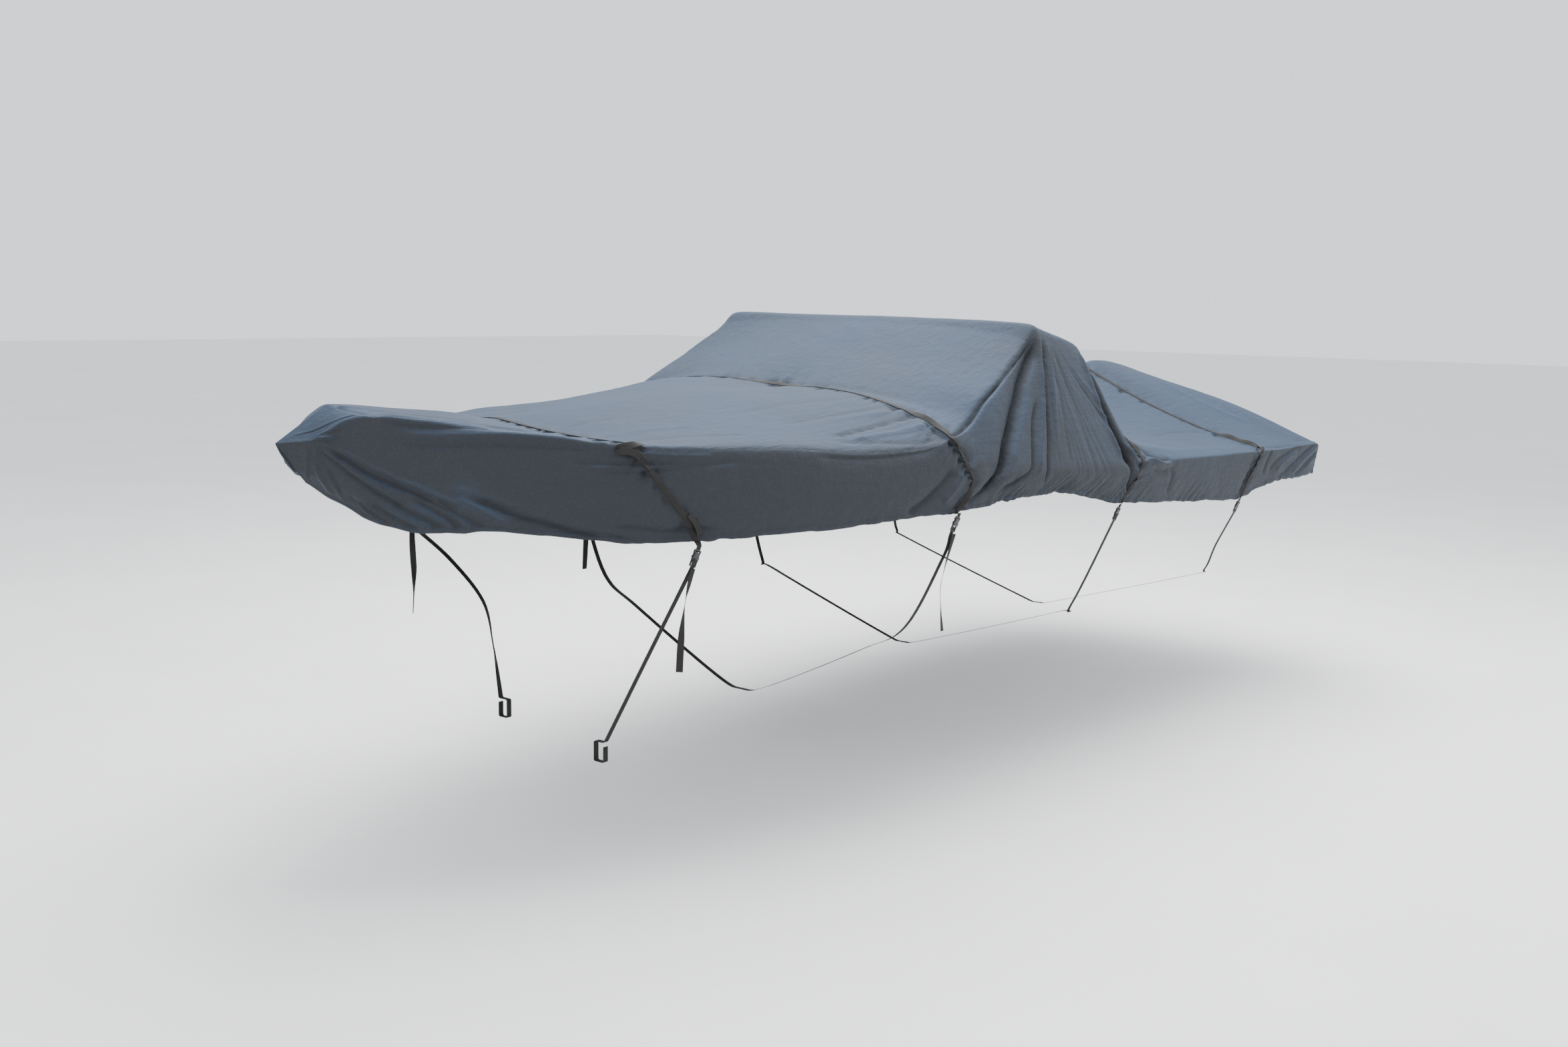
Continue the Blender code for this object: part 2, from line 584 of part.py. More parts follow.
def add_tie(name, marks, finish):
    route = smooth_route(marks, TIE_SPACING)
    aft = np.broadcast_to([0.0, 1.0, 0.0], route.shape)
    add_ribbon(name, ribbon_corners(route, aft), finish)


def add_tail(name, marks, side, finish):
    """The free end of a tie-down, which hangs and turns."""
    turned = smooth_route(marks, TAIL_SPACING)
    route = side_points(turned[:, :3], side)
    add_ribbon(name, ribbon_corners(route, turned_width(turned[:, 3], side)), finish)


def main():
    for old in list(bpy.data.objects):
        bpy.data.objects.remove(old)
    cover = material("cover_cloth", (0.075, 0.09, 0.115), 0.85)
    webbing = material("webbing", (0.022, 0.022, 0.024), 0.8)
    moulding = material("buckle_plastic", (0.012, 0.012, 0.014), 0.35)

    seams = (None, *STRAPS, None)
    for name, front, rear in zip(PANELS, seams[:-1], seams[1:]):
        add_panel(name, front, rear, cover)

    sides = {"starboard": -1, "port": 1}
    for number, (strap, (top, bottom, marks)) in enumerate(zip(STRAPS, TIES), start=1):
        add_ribbon(f"strap_{number}", strap_corners(strap, top, bottom), webbing)
        ties = {}
        for label, side in sides.items():
            ends = side_points([top, bottom], side)
            tie_top = add_buckle(f"buckle_{number}_{label}", *ends, moulding)
            lead = tie_top + LEAD * unit(ends[1] - ends[0])
            ties[label] = np.array([tie_top, lead])
        if marks is None:
            for label, side in sides.items():
                add_rail_tie(f"tie_{number}_{label}", ties[label], RAIL_TIES[label], side, webbing)
        else:
            down = [np.vstack([ties[label], side_points(marks, side)]) for label, side in sides.items()]
            add_tie(f"tie_{number}", np.vstack([down[0], down[1][-2::-1]]), webbing)
    for number, marks in enumerate(TAILS, start=1):
        for label, side in sides.items():
            add_tail(f"tail_{number}_{label}", marks, side, webbing)


main()
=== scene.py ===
# %% [markdown]
# # A fitted boat cover, stretched over a boat that isn't there
#
# The real cover is sewn from five panels of coated polyester. Four straps of webbing run over it from
# side to side, and each ends in side-release buckles whose tie-downs hold it to the trailer.
# The imported model gives the places. This lesson makes what shows: creased cloth, sewn webbing and
# moulded buckles. It begins by loading the frame.

# %% Load the imported frame
import bmesh
import bpy
import numpy as np
from mathutils import Matrix


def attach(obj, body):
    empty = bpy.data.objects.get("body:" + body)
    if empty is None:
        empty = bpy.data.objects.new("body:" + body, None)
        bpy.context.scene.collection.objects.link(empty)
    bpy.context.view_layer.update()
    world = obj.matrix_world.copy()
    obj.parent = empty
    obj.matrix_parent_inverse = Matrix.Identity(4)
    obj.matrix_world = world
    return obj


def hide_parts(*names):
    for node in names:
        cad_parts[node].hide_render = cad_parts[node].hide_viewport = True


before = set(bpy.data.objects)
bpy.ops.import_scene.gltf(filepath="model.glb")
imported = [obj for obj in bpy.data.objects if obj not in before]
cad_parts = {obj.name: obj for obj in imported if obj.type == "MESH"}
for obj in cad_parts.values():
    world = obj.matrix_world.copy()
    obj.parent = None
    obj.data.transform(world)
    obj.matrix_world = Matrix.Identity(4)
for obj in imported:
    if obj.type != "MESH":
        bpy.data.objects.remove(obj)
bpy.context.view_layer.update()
print("CAD nodes:", len(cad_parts))

# %% [markdown]
# ## Where things are
#
# A boatbuilder measures by stations: distances aft of the bow's tip. Heights are above the ground that
# the trailer stands on. One function turns both into the frame, whose origin lies under the cloth in the
# middle of the windshield's top edge.

# %% Driving dimensions, in metres
WINDSHIELD_STATION = 3.19
WINDSHIELD_HEIGHT = 1.985
CLOTH_SOLID = 0.003
END_STATION = 6.03
WEB_WIDTH = 0.025
WEB_THICK = 0.0016


def row_frame(out, station, up):
    """Distances to port, aft of the bow's tip and above the ground, as points of the frame."""
    return np.stack([out, station - WINDSHIELD_STATION, up - (WINDSHIELD_HEIGHT - CLOTH_SOLID)], axis=-1)


GROUND = float(row_frame(0.0, 0.0, 0.0)[2])
print("the ground lies at Z =", round(GROUND, 3))

# %% [markdown]
# ## The drape as cross-sections
#
# Stretched cloth runs straight from one hard edge to the next: from the crown over the shoulder and the
# gunwale to the hem. So a short table of sections, one row for each place where the boat underneath
# changes, says more than thousands of points. Between the rows every column follows cubics that never
# overshoot, as taut cloth doesn't either.

# %% The sections
SECTION_COLUMNS = ("station", "shoulder_out", "shoulder_up", "gunwale_out", "gunwale_up", "hem_out", "hem_up")
SECTIONS = (
    (0.00, 0.000, 1.572, 0.000, 1.520, 0.000, 1.460),
    (0.08, 0.085, 1.583, 0.060, 1.482, 0.046, 1.450),
    (0.17, 0.172, 1.655, 0.160, 1.415, 0.149, 1.380),
    (0.20, 0.200, 1.663, 0.190, 1.393, 0.178, 1.352),
    (0.23, 0.224, 1.662, 0.216, 1.376, 0.203, 1.322),
    (0.35, 0.316, 1.646, 0.312, 1.340, 0.296, 1.272),
    (0.50, 0.425, 1.620, 0.424, 1.330, 0.406, 1.276),
    (0.81, 0.616, 1.579, 0.618, 1.310, 0.600, 1.235),
    (1.02, 0.728, 1.557, 0.732, 1.300, 0.708, 1.212),
    (1.49, 0.896, 1.537, 0.905, 1.320, 0.880, 1.217),
    (1.92, 0.991, 1.500, 1.002, 1.330, 0.976, 1.219),
    (2.15, 1.031, 1.500, 1.040, 1.340, 1.014, 1.226),
    (2.31, 1.053, 1.535, 1.062, 1.350, 1.036, 1.225),
    (2.50, 1.015, 1.575, 1.080, 1.355, 1.055, 1.235),
    (2.65, 0.985, 1.664, 1.091, 1.360, 1.066, 1.247),
    (2.87, 0.943, 1.763, 1.102, 1.362, 1.080, 1.254),
    (3.11, 0.896, 1.905, 1.112, 1.350, 1.092, 1.250),
    (3.19, 0.882, 1.970, 1.115, 1.345, 1.094, 1.238),
    (3.24, 0.881, 1.957, 1.116, 1.343, 1.096, 1.230),
    (3.45, 0.880, 1.910, 1.120, 1.335, 1.100, 1.186),
    (3.56, 0.880, 1.882, 1.122, 1.332, 1.102, 1.166),
    (3.66, 0.900, 1.780, 1.124, 1.340, 1.103, 1.158),
    (3.80, 0.985, 1.470, 1.127, 1.338, 1.106, 1.150),
    (4.00, 1.020, 1.395, 1.130, 1.333, 1.110, 1.132),
    (4.44, 1.050, 1.350, 1.130, 1.322, 1.110, 1.101),
    (4.86, 1.070, 1.330, 1.130, 1.312, 1.110, 1.073),
    (5.16, 1.090, 1.316, 1.129, 1.305, 1.108, 1.108),
    (5.45, 1.090, 1.312, 1.126, 1.300, 1.106, 1.128),
    (5.72, 1.090, 1.310, 1.122, 1.300, 1.100, 1.120),
    (5.91, 1.090, 1.307, 1.118, 1.294, 1.086, 1.125),
    (5.98, 1.065, 1.270, 1.092, 1.240, 1.064, 1.120),
    (6.03, 1.012, 1.165, 1.038, 1.145, 1.026, 1.115),
)
CROWN_COLUMNS = ("station", "middle_up", "port_swell")
CROWN = (
    (0.00, 1.572, 0.0),
    (0.08, 1.621, 0.0),
    (0.18, 1.681, -0.5),
    (0.20, 1.691, -0.6),
    (0.23, 1.690, -0.6),
    (0.45, 1.669, -0.8),
    (0.70, 1.643, -0.9),
    (0.92, 1.610, -1.2),
    (1.20, 1.620, 0.2),
    (1.60, 1.656, 0.7),
    (2.00, 1.682, 1.1),
    (2.47, 1.675, 1.8),
    (2.52, 1.692, 1.8),
    (2.65, 1.754, 1.3),
    (2.87, 1.848, 0.9),
    (3.11, 1.955, 0.8),
    (3.19, 1.985, 0.8),
    (3.40, 1.955, 0.6),
    (3.58, 1.868, 0.3),
    (3.66, 1.770, 0.2),
    (3.80, 1.530, 0.4),
    (4.05, 1.525, 0.0),
    (4.50, 1.595, -0.3),
    (4.90, 1.680, -0.5),
    (5.17, 1.725, -0.45),
    (5.34, 1.754, -0.3),
    (5.60, 1.722, 0.1),
    (5.75, 1.659, 0.6),
    (5.90, 1.524, 1.15),
    (5.98, 1.360, 0.9),
    (6.03, 1.190, 0.8),
)
STARBOARD_COLUMNS = ("station", "swell", "shoulder_lift", "hem_lift")
STARBOARD = (
    (0.00, 0.0, 0.000, 0.000),
    (0.08, 0.0, -0.065, 0.020),
    (0.20, 0.0, -0.110, 0.120),
    (0.35, 0.1, -0.090, 0.110),
    (0.50, 0.3, -0.060, 0.040),
    (0.70, 0.4, 0.000, 0.010),
    (0.92, 0.4, 0.004, 0.000),
    (1.30, 0.5, 0.014, 0.000),
    (1.60, 0.7, 0.034, 0.000),
    (2.00, 1.3, 0.030, 0.000),
    (2.47, 2.8, -0.020, 0.000),
    (2.65, 2.0, 0.000, 0.000),
    (2.87, 1.4, 0.025, 0.000),
    (3.11, 0.9, 0.035, 0.000),
    (3.19, 0.9, 0.025, 0.000),
    (3.40, 0.9, 0.000, 0.000),
    (3.80, 0.4, 0.000, 0.000),
    (4.50, -0.3, 0.000, 0.000),
    (5.34, -0.4, 0.000, 0.000),
    (5.60, 0.1, 0.000, 0.000),
    (6.03, 0.8, 0.000, 0.000),
)
SHOULDER_AT = 0.56  # of the way round from the crown to the hem
GUNWALE_AT = 0.84
CORNER_ROUNDING = 0.016
STEM_RAKE = 0.108
STEM_REACH = 0.4
STEM_CURVE = 1.3
STRAPS = (  # stations where each strap crosses the crown, the shoulder, the gunwale and the hem
    (0.92, 0.92, 1.10, 1.16),
    (2.50, 2.31, 2.45, 2.36),
    (3.85, 3.82, 3.80, 3.63),
    (5.17, 5.16, 5.12, 4.91),
)
print(len(SECTIONS), "sections,", len(STRAPS), "straps")

# %% Read a column anywhere along the boat


def follow(table, columns, name, station):
    """A column at any station: cubic Hermite curves with harmonic-mean slopes, which never overshoot."""
    x = np.array([row[0] for row in table])
    y = np.array([row[columns.index(name)] for row in table])
    slope = np.diff(y) / np.diff(x)
    before, after = slope[:-1], slope[1:]
    agree = before * after > 0
    tangent = np.concatenate(([slope[0]], np.zeros(len(before)), [slope[-1]]))
    tangent[1:-1][agree] = 2 * before[agree] * after[agree] / (before[agree] + after[agree])
    i = np.clip(np.searchsorted(x, station) - 1, 0, len(x) - 2)
    run = x[i + 1] - x[i]
    t = np.clip((station - x[i]) / run, 0, 1)
    start = (1 + 2 * t) * (1 - t) ** 2 * y[i] + t * (1 - t) ** 2 * run * tangent[i]
    end = t**2 * (3 - 2 * t) * y[i + 1] + t**2 * (t - 1) * run * tangent[i + 1]
    return start + end


def round_section(girth, crown, shoulder, gunwale, hem):
    """Three straight runs from the crown to the hem, joined by two corners rounded as hyperbolas."""
    def ramp(x):
        return (x + np.sqrt(x**2 + CORNER_ROUNDING**2)) / 2

    top = (shoulder - crown) / SHOULDER_AT
    side = (gunwale - shoulder) / (GUNWALE_AT - SHOULDER_AT)
    skirt = (hem - gunwale) / (1 - GUNWALE_AT)
    bend = (side - top) * ramp(girth - SHOULDER_AT) + (skirt - side) * ramp(girth - GUNWALE_AT)
    return crown + top * girth + bend


def stem(girth):
    """The station of the bow's edge, which leans aft as a power of the way down it."""
    down = np.clip((np.abs(girth) - SHOULDER_AT) / (1 - SHOULDER_AT), 0, 1)
    return STEM_RAKE * down**STEM_CURVE


print("crown at the windshield:", float(follow(CROWN, CROWN_COLUMNS, "middle_up", 3.19)))

# %% [markdown]
# ## The cover as a surface of two parameters
#
# The cloth is a sheet, so two numbers name any spot on it: the station, and the girth, which runs from -1
# at the starboard hem over the crown to 1 at the port hem. The taut shape comes first. Every crease is
# then a rise or a dip along its normal, which keeps the cloth one continuous surface however many creases
# it carries.

# %% The taut surface and its normal


def taut_cloth(station, girth):
    """Points of the cloth without creases: rounded sections, swollen or sagging between the shoulders."""
    station, girth = np.broadcast_arrays(np.asarray(station, float), np.asarray(girth, float))
    around = np.abs(girth)
    lean = stem(girth)
    spread_at = np.where(station < STEM_REACH, (station - lean) / (1 - lean / STEM_REACH), station)
    spread_at = np.maximum(spread_at, 0)
    wide = [follow(SECTIONS, SECTION_COLUMNS, name, spread_at) for name in SECTION_COLUMNS[1::2]]
    high = [follow(SECTIONS, SECTION_COLUMNS, name, station) for name in SECTION_COLUMNS[2::2]]
    middle = follow(CROWN, CROWN_COLUMNS, "middle_up", station)
    port = follow(CROWN, CROWN_COLUMNS, "port_swell", station)
    starboard = follow(STARBOARD, STARBOARD_COLUMNS, "swell", station)
    shoulder_lift = follow(STARBOARD, STARBOARD_COLUMNS, "shoulder_lift", station)
    hem_lift = follow(STARBOARD, STARBOARD_COLUMNS, "hem_lift", station)
    rounded = np.sqrt(around**2 + CORNER_ROUNDING**2)
    out = round_section(around, 0 * station, *wide)
    up = round_section(rounded, middle, *high)
    across = np.clip(rounded / SHOULDER_AT, 0, 1)
    swell = np.where(girth > 0, port, starboard)
    up = up + (middle - high[0]) * swell * across * (1 - across)
    down_the_side = np.clip((around - SHOULDER_AT) / (1 - SHOULDER_AT), 0, 1)
    lift = shoulder_lift * across**2 * (1 - down_the_side) + hem_lift * down_the_side
    up = up + np.where(girth > 0, 0, lift)
    return row_frame(np.copysign(out, girth), station, up)


def unit(vectors):
    return vectors / np.maximum(np.linalg.norm(vectors, axis=-1, keepdims=True), 1e-9)


def outward(surface, station, girth, step=0.004):
    """The surface's normal away from the boat: the cross product of its two central differences."""
    aft = surface(station + step, girth) - surface(station - step, girth)
    to_port = surface(station, np.minimum(girth + step, 1)) - surface(station, np.maximum(girth - step, -1))
    return unit(np.cross(to_port, aft))


print("a shoulder point:", taut_cloth(3.19, SHOULDER_AT).round(3))

# %% [markdown]
# ## Smooth randomness
#
# Real creases never repeat. Value noise does that: a random number at each whole number, and a smooth
# curve between them. The random numbers come from one seeded table, so the cover is the same each time.

# %% Value noise in one and two dimensions
NOISE_SIZE = 512
RANDOM = np.random.default_rng(7).uniform(-1, 1, (NOISE_SIZE, NOISE_SIZE))


def smooth(t):
    """The quintic that eases from 0 to 1."""
    t = np.clip(t, 0, 1)
    return t**3 * (t * (6 * t - 15) + 10)


def noise(x, y=0.0):
    """Value noise from -1 to 1: random corners of a grid, blended by the quintic."""
    x, y = np.broadcast_arrays(np.asarray(x, float), np.asarray(y, float))
    i, j = np.floor(x).astype(int), np.floor(y).astype(int)
    u, v = smooth(x - i), smooth(y - j)
    i0, i1, j0, j1 = i % NOISE_SIZE, (i + 1) % NOISE_SIZE, j % NOISE_SIZE, (j + 1) % NOISE_SIZE
    low = RANDOM[i0, j0] * (1 - u) + RANDOM[i1, j0] * u
    high = RANDOM[i0, j1] * (1 - u) + RANDOM[i1, j1] * u
    return low * (1 - v) + high * v


def ridged(x, y=0.0):
    """Noise folded at zero: crisp ridges at 1 with soft hollows between them, as pinched cloth has."""
    return 1 - 2 * np.abs(noise(x, y))


print("noise spread:", round(float(noise(np.linspace(0, 60, 999), 0.3).std()), 2))

# %% [markdown]
# ## Creases placed one by one
#
# Each main crease has a cause: the stem's corners pull the bow, and the windshield's corner props the
# cloth up. So they aren't noise. Each is a row: how far it stands out or in, its half width, how much
# wider its aft flank is, its share on starboard, and then marks along it as station and girth. Tight
# cloth folds crisply, so the rise falls off from the crease's line at once, like the sides of a tent.

# %% The creases
PER_THOUSAND = 1000  # heights, half widths and stations are in millimetres, girths in thousandths
BOW_CREASES = (
    # The seam from the tip to the shoulder, and the hollow between the two top corners.
    (4, 7, 0, 1, (20, 160), (70, 255), (120, 360), (160, 460), (210, 490)),
    (-5, 4, 0, 1, (30, 180), (70, 265), (120, 375), (160, 470), (200, 500)),
    (-6, 12, 0.2, 1, (200, 100), (205, 200), (215, 300), (220, 400), (225, 480)),
    (6, 10, 0, 1, (205, 100), (235, 140), (300, 160)),
    # Streaks drawn aft from those corners.
    (-6, 12, 0.2, 0.2, (210, 120), (330, 145), (530, 150), (680, 220)),
    (-7, 12, 0.2, 0.2, (240, 210), (380, 240), (550, 250), (760, 280)),
    (-7, 12, 0.2, 0.2, (400, 300), (550, 320), (700, 360), (840, 380)),
    (6, 13, 0, 0.9, (220, 430), (300, 395), (420, 370), (620, 330), (820, 330)),
    (-12, 13, 0.3, 0.9, (220, 480), (290, 445), (380, 440), (540, 420), (800, 420)),
    (-8, 9, 0, 1, (210, 510), (250, 505), (300, 515), (360, 520)),
    (7, 12, 0, 1, (215, 535), (300, 545), (400, 535), (560, 500)),
    (-8, 12, -0.3, 1, (220, 560), (300, 580), (400, 570), (520, 530), (700, 490)),
    (7, 15, 0, 1, (260, 610), (360, 600), (450, 585), (600, 560), (800, 550)),
    (-8, 18, -0.3, 1, (240, 640), (380, 630), (520, 610), (700, 600), (860, 600)),
    # The fan from the stem's corner down the bow.
    (5, 10, 0, 1, (85, 465), (110, 515), (140, 545), (185, 565)),
    (-5, 7, 0, 1, (90, 500), (110, 550), (130, 580), (160, 600)),
    (5, 7, 0, 1, (90, 530), (105, 570), (135, 615)),
    (-5, 7, 0, 1, (85, 550), (105, 600), (135, 640)),
    (10, 8, 0.5, 0.9, (85, 555), (120, 640), (160, 690), (210, 720), (250, 735), (290, 750), (330, 760),
     (370, 780), (420, 800), (470, 820)),
    (-13, 9, 0.5, 0.9, (90, 590), (140, 695), (170, 725), (200, 745), (260, 765), (320, 780), (360, 800),
     (410, 830), (460, 880)),
    (8, 10, 0, 1, (105, 670), (155, 735), (200, 765), (250, 785), (310, 810)),
    (-12, 11, 0, 0.9, (90, 610), (120, 700), (160, 755), (200, 785), (250, 810), (310, 840)),
    (-8, 10, 0, 1, (90, 660), (120, 745), (150, 815), (180, 905)),
    (7, 9, 0, 1, (95, 730), (120, 820), (145, 885), (165, 950)),
    (6, 6, 0, 1, (70, 600), (80, 690), (90, 780), (105, 950)),
    (6, 6, 0, 1, (85, 630), (110, 720), (135, 790), (170, 890), (200, 990)),
    (6, 5, 0, 1, (85, 530), (105, 565), (130, 615), (150, 640)),
    (7, 6, 0, 1, (190, 860), (210, 910), (235, 950), (270, 990)),
    # Pleats where the elastic gathers the lower bow.
    (-9, 11, 0.3, 0.7, (180, 870), (230, 920), (270, 960), (290, 995)),
    (8, 10, 0, 1, (210, 875), (250, 925), (290, 975)),
    (-9, 11, 0.3, 0.8, (220, 850), (265, 895), (305, 935), (350, 985)),
    (8, 10, 0, 1, (250, 840), (300, 885), (350, 930), (380, 985)),
    (-10, 11, 0.3, 0.8, (270, 820), (320, 860), (370, 915), (410, 990)),
    (7, 10, 0, 0.8, (300, 810), (360, 850), (405, 910), (430, 985)),
    (-10, 10, 0.4, 0.9, (320, 795), (380, 840), (425, 915), (450, 985)),
    (8, 10, 0, 1, (360, 790), (420, 840), (455, 910), (480, 985)),
    (-9, 11, 0.3, 0.8, (370, 785), (430, 840), (480, 915), (520, 985)),
    (9, 14, 0, 1, (420, 780), (500, 830), (560, 900), (600, 980)),
    (-15, 18, 0.4, 1, (440, 775), (560, 825), (660, 885), (760, 945), (880, 985)),
    (6, 18, 0, 1, (380, 750), (500, 775), (640, 830), (760, 900), (900, 960)),
)
FOREDECK_CREASES = (
    (-7, 14, 0, 1, (720, 645), (800, 645), (880, 640), (980, 635), (1120, 620)),
    (5, 12, 0, 1, (780, 660), (880, 655), (970, 645), (1080, 635)),
    (-6, 12, 0, 1, (780, 675), (880, 670), (1000, 660), (1160, 640), (1340, 620)),
    (6, 13, 0, 1, (900, 600), (980, 595), (1100, 600), (1220, 600)),
    (-9, 14, 0.2, 1, (840, 880), (960, 895), (1050, 920), (1160, 920), (1260, 940)),
    (-7, 10, 0.2, 1, (760, 910), (840, 945), (940, 975), (1020, 985)),
    (-10, 34, 0, 1, (1100, 565), (1500, 565), (1800, 565), (2050, 565), (2280, 560)),
    (-8, 20, -0.3, 1, (1600, 610), (1800, 610), (2050, 605), (2280, 575)),
    (-16, 26, 0, 1, (2320, 720), (2290, 785), (2220, 860), (2140, 935), (2060, 980)),
    (10, 26, 0, 1, (2380, 780), (2330, 860), (2260, 940)),
    (-12, 11, 0.5, 1, (2380, 465), (2300, 450), (2200, 445), (2010, 460), (1790, 485)),
    (10, 16, 0, 1, (2340, 500), (2200, 490), (2020, 495), (1860, 505)),
    (-7, 16, 0, 1, (2310, 550), (2220, 540), (2120, 535), (1950, 520), (1760, 505)),
    (6, 18, 0, 1, (2380, 430), (2270, 405), (2140, 395), (1960, 400)),
    (-5, 18, 0.4, 0.8, (2380, 385), (2200, 375), (1960, 375), (1700, 390)),
    (-5, 18, 0, 1.2, (2420, 300), (2220, 285), (1960, 270), (1660, 280)),
    (-4, 16, 0, 1, (2450, 200), (2260, 185), (2040, 170)),
    (-5, 24, 0, 1, (980, 450), (1200, 440), (1500, 460)),
    (5, 22, 0, 1, (970, 360), (1160, 340), (1420, 350)),
    (-5, 20, 0, 1, (960, 200), (1100, 170), (1300, 160)),
)
WINDSHIELD_CREASES = (
    # The edge of the windshield's front, pulled tight from its top corner to the second strap.
    (-16, 10, -0.3, 1, (3170, 565), (3080, 570), (2890, 560), (2750, 560), (2560, 555), (2330, 560)),
    (-14, 9, 0, 1, (2270, 560), (2410, 560), (2530, 555), (2680, 560), (2860, 560)),
    (5, 9, 0, 1, (3060, 545), (2960, 540), (2860, 545)),
    # The broad fold that falls from the corner and sweeps forward to the strap, with its two edges.
    (-40, 32, -0.35, 1, (3190, 565), (3150, 585), (3090, 595), (3030, 605), (2960, 620), (2900, 645),
     (2840, 670), (2780, 705), (2720, 745), (2670, 795), (2620, 840), (2570, 885), (2520, 905),
     (2460, 945)),
    (-10, 9, 0, 1, (2840, 675), (2770, 715), (2700, 770), (2650, 820), (2600, 865), (2540, 900),
     (2480, 930), (2420, 960)),
    (9, 26, 0, 1, (3140, 605), (3060, 625), (2980, 655), (2890, 695), (2810, 740), (2740, 790),
     (2700, 835)),
    # The two sharp folds beside it, and the ridge between them.
    (-18, 13, 0.4, 1, (3060, 665), (2960, 715), (2910, 765), (2880, 805), (2850, 840), (2810, 865),
     (2740, 895), (2660, 925), (2590, 960)),
    (12, 13, 0, 1, (3170, 625), (3100, 680), (3010, 745), (2950, 790), (2910, 845), (2880, 900)),
    (-26, 10, 0.5, 1, (3230, 565), (3210, 600), (3170, 640), (3120, 675), (3090, 710), (3060, 745),
     (3020, 785), (2980, 825), (2960, 875), (2950, 925), (2930, 985)),
    (8, 12, 0, 1, (3260, 575), (3230, 630), (3180, 690), (3120, 750), (3060, 820)),
    (-5, 8, 0, 1, (3240, 575), (3170, 670), (3120, 735), (3060, 830), (3030, 870)),
    (-5, 10, 0, 1, (3260, 585), (3230, 695), (3180, 780), (3140, 860)),
    (-5, 12, 0, 1, (3290, 590), (3320, 690), (3350, 780), (3360, 860)),
    (-10, 13, 0, 1, (2570, 880), (2530, 910), (2470, 935), (2410, 970)),
    # The rear corner of the windshield panel, where a deep trough drops to the third strap.
    (-50, 36, -0.4, 1, (3630, 500), (3645, 550), (3645, 620), (3645, 675), (3650, 720), (3665, 770),
     (3680, 810), (3690, 850), (3690, 895)),
    (-20, 10, 0, 1, (3660, 770), (3675, 810), (3690, 850), (3690, 895), (3670, 940), (3650, 990)),
    (16, 18, 0, 1, (3560, 560), (3565, 640), (3575, 720), (3600, 790), (3630, 850)),
    (12, 10, 0, 1, (3710, 760), (3730, 810), (3740, 860), (3720, 930)),
)
STERN_CREASES = (
    (-16, 24, 0.3, 1, (3860, 600), (3890, 680), (3910, 760), (3990, 815), (4080, 830)),
    (16, 18, 0, 1, (3860, 800), (3930, 835), (4000, 850), (4080, 850)),
    (-9, 14, 0, 1, (3870, 870), (3950, 880), (4050, 875)),
    (-9, 14, 0, 1, (4020, 860), (4090, 890), (4080, 930), (4050, 975)),
    (-6, 20, 0.3, 0.7, (5210, 600), (5350, 660), (5600, 700)),
    (-12, 13, 0.3, 1, (5920, 820), (5790, 860), (5640, 905), (5490, 960), (5380, 990)),
    (9, 12, 0, 1, (5930, 850), (5800, 885), (5670, 930), (5550, 985)),
    (-10, 11, 0.3, 1, (5950, 870), (5840, 910), (5710, 960), (5600, 990)),
    (7, 10, 0, 1, (5950, 900), (5860, 925), (5770, 965)),
    (-12, 16, 0.3, 1, (5700, 820), (5520, 860), (5330, 900), (5220, 960)),
    (8, 16, 0, 1, (5620, 860), (5460, 900), (5330, 950)),
    (-9, 14, 0, 1, (5260, 830), (5210, 880), (5170, 950)),
    (-8, 14, 0, 1, (5040, 800), (5020, 870), (4960, 940), (4880, 985)),
    (-6, 26, 0, 1, (5120, 420), (4850, 400), (4500, 420)),
    (6, 30, 0, 1, (5600, 100), (5550, 300), (5600, 450)),
)
CREASES = BOW_CREASES + FOREDECK_CREASES + WINDSHIELD_CREASES + STERN_CREASES
print(len(CREASES), "creases placed by hand")

# %% From marks to a rise of the cloth


def smooth_route(marks, steps):
    """A Catmull-Rom curve through marks: on each run, a cubic whose slopes follow the neighbours."""
    marks = np.array(marks, float)
    padded = np.vstack([2 * marks[0] - marks[1], marks, 2 * marks[-1] - marks[-2]])
    a, b, c, d = (padded[k : len(padded) - 3 + k, None] for k in range(4))
    t = np.linspace(0, 1, steps, endpoint=False)[None, :, None]
    route = b + t * ((c - a) + t * ((2 * a - 5 * b + 4 * c - d) + t * (3 * (b - c) + d - a))) / 2
    return np.vstack([route.reshape(-1, marks.shape[1]), marks[-1:]])


CREASE_STEPS = 4
CREASE_TAPER = 0.18  # the share of a crease's length over which each end fades
CREASE_REACH = 3.6  # half widths beyond which a crease isn't felt
CREASE_EDGE = 0.22  # the radius of the fold itself, in half widths
CREASE_FALL = 1.5  # how quickly its flanks fall off


def nearest_on(points, line):
    """For each point: its distance from a line, the share of the line's length there, and its side."""
    starts, runs = line[:-1], np.diff(line, axis=0)
    lengths = np.linalg.norm(runs, axis=1)
    before = np.concatenate([[0], np.cumsum(lengths)[:-1]])
    best = np.full(len(points), np.inf)
    along = np.zeros(len(points))
    aft_of = np.zeros(len(points))
    for start, run, length, passed in zip(starts, runs, lengths, before):
        share = np.clip((points - start) @ run / length**2, 0, 1)
        away = points - start - share[:, None] * run
        gap = np.linalg.norm(away, axis=1)
        closer = gap < best
        best = np.where(closer, gap, best)
        along = np.where(closer, passed + share * length, along)
        aft_of = np.where(closer, away[:, 1], aft_of)
    return best, along / lengths.sum(), aft_of


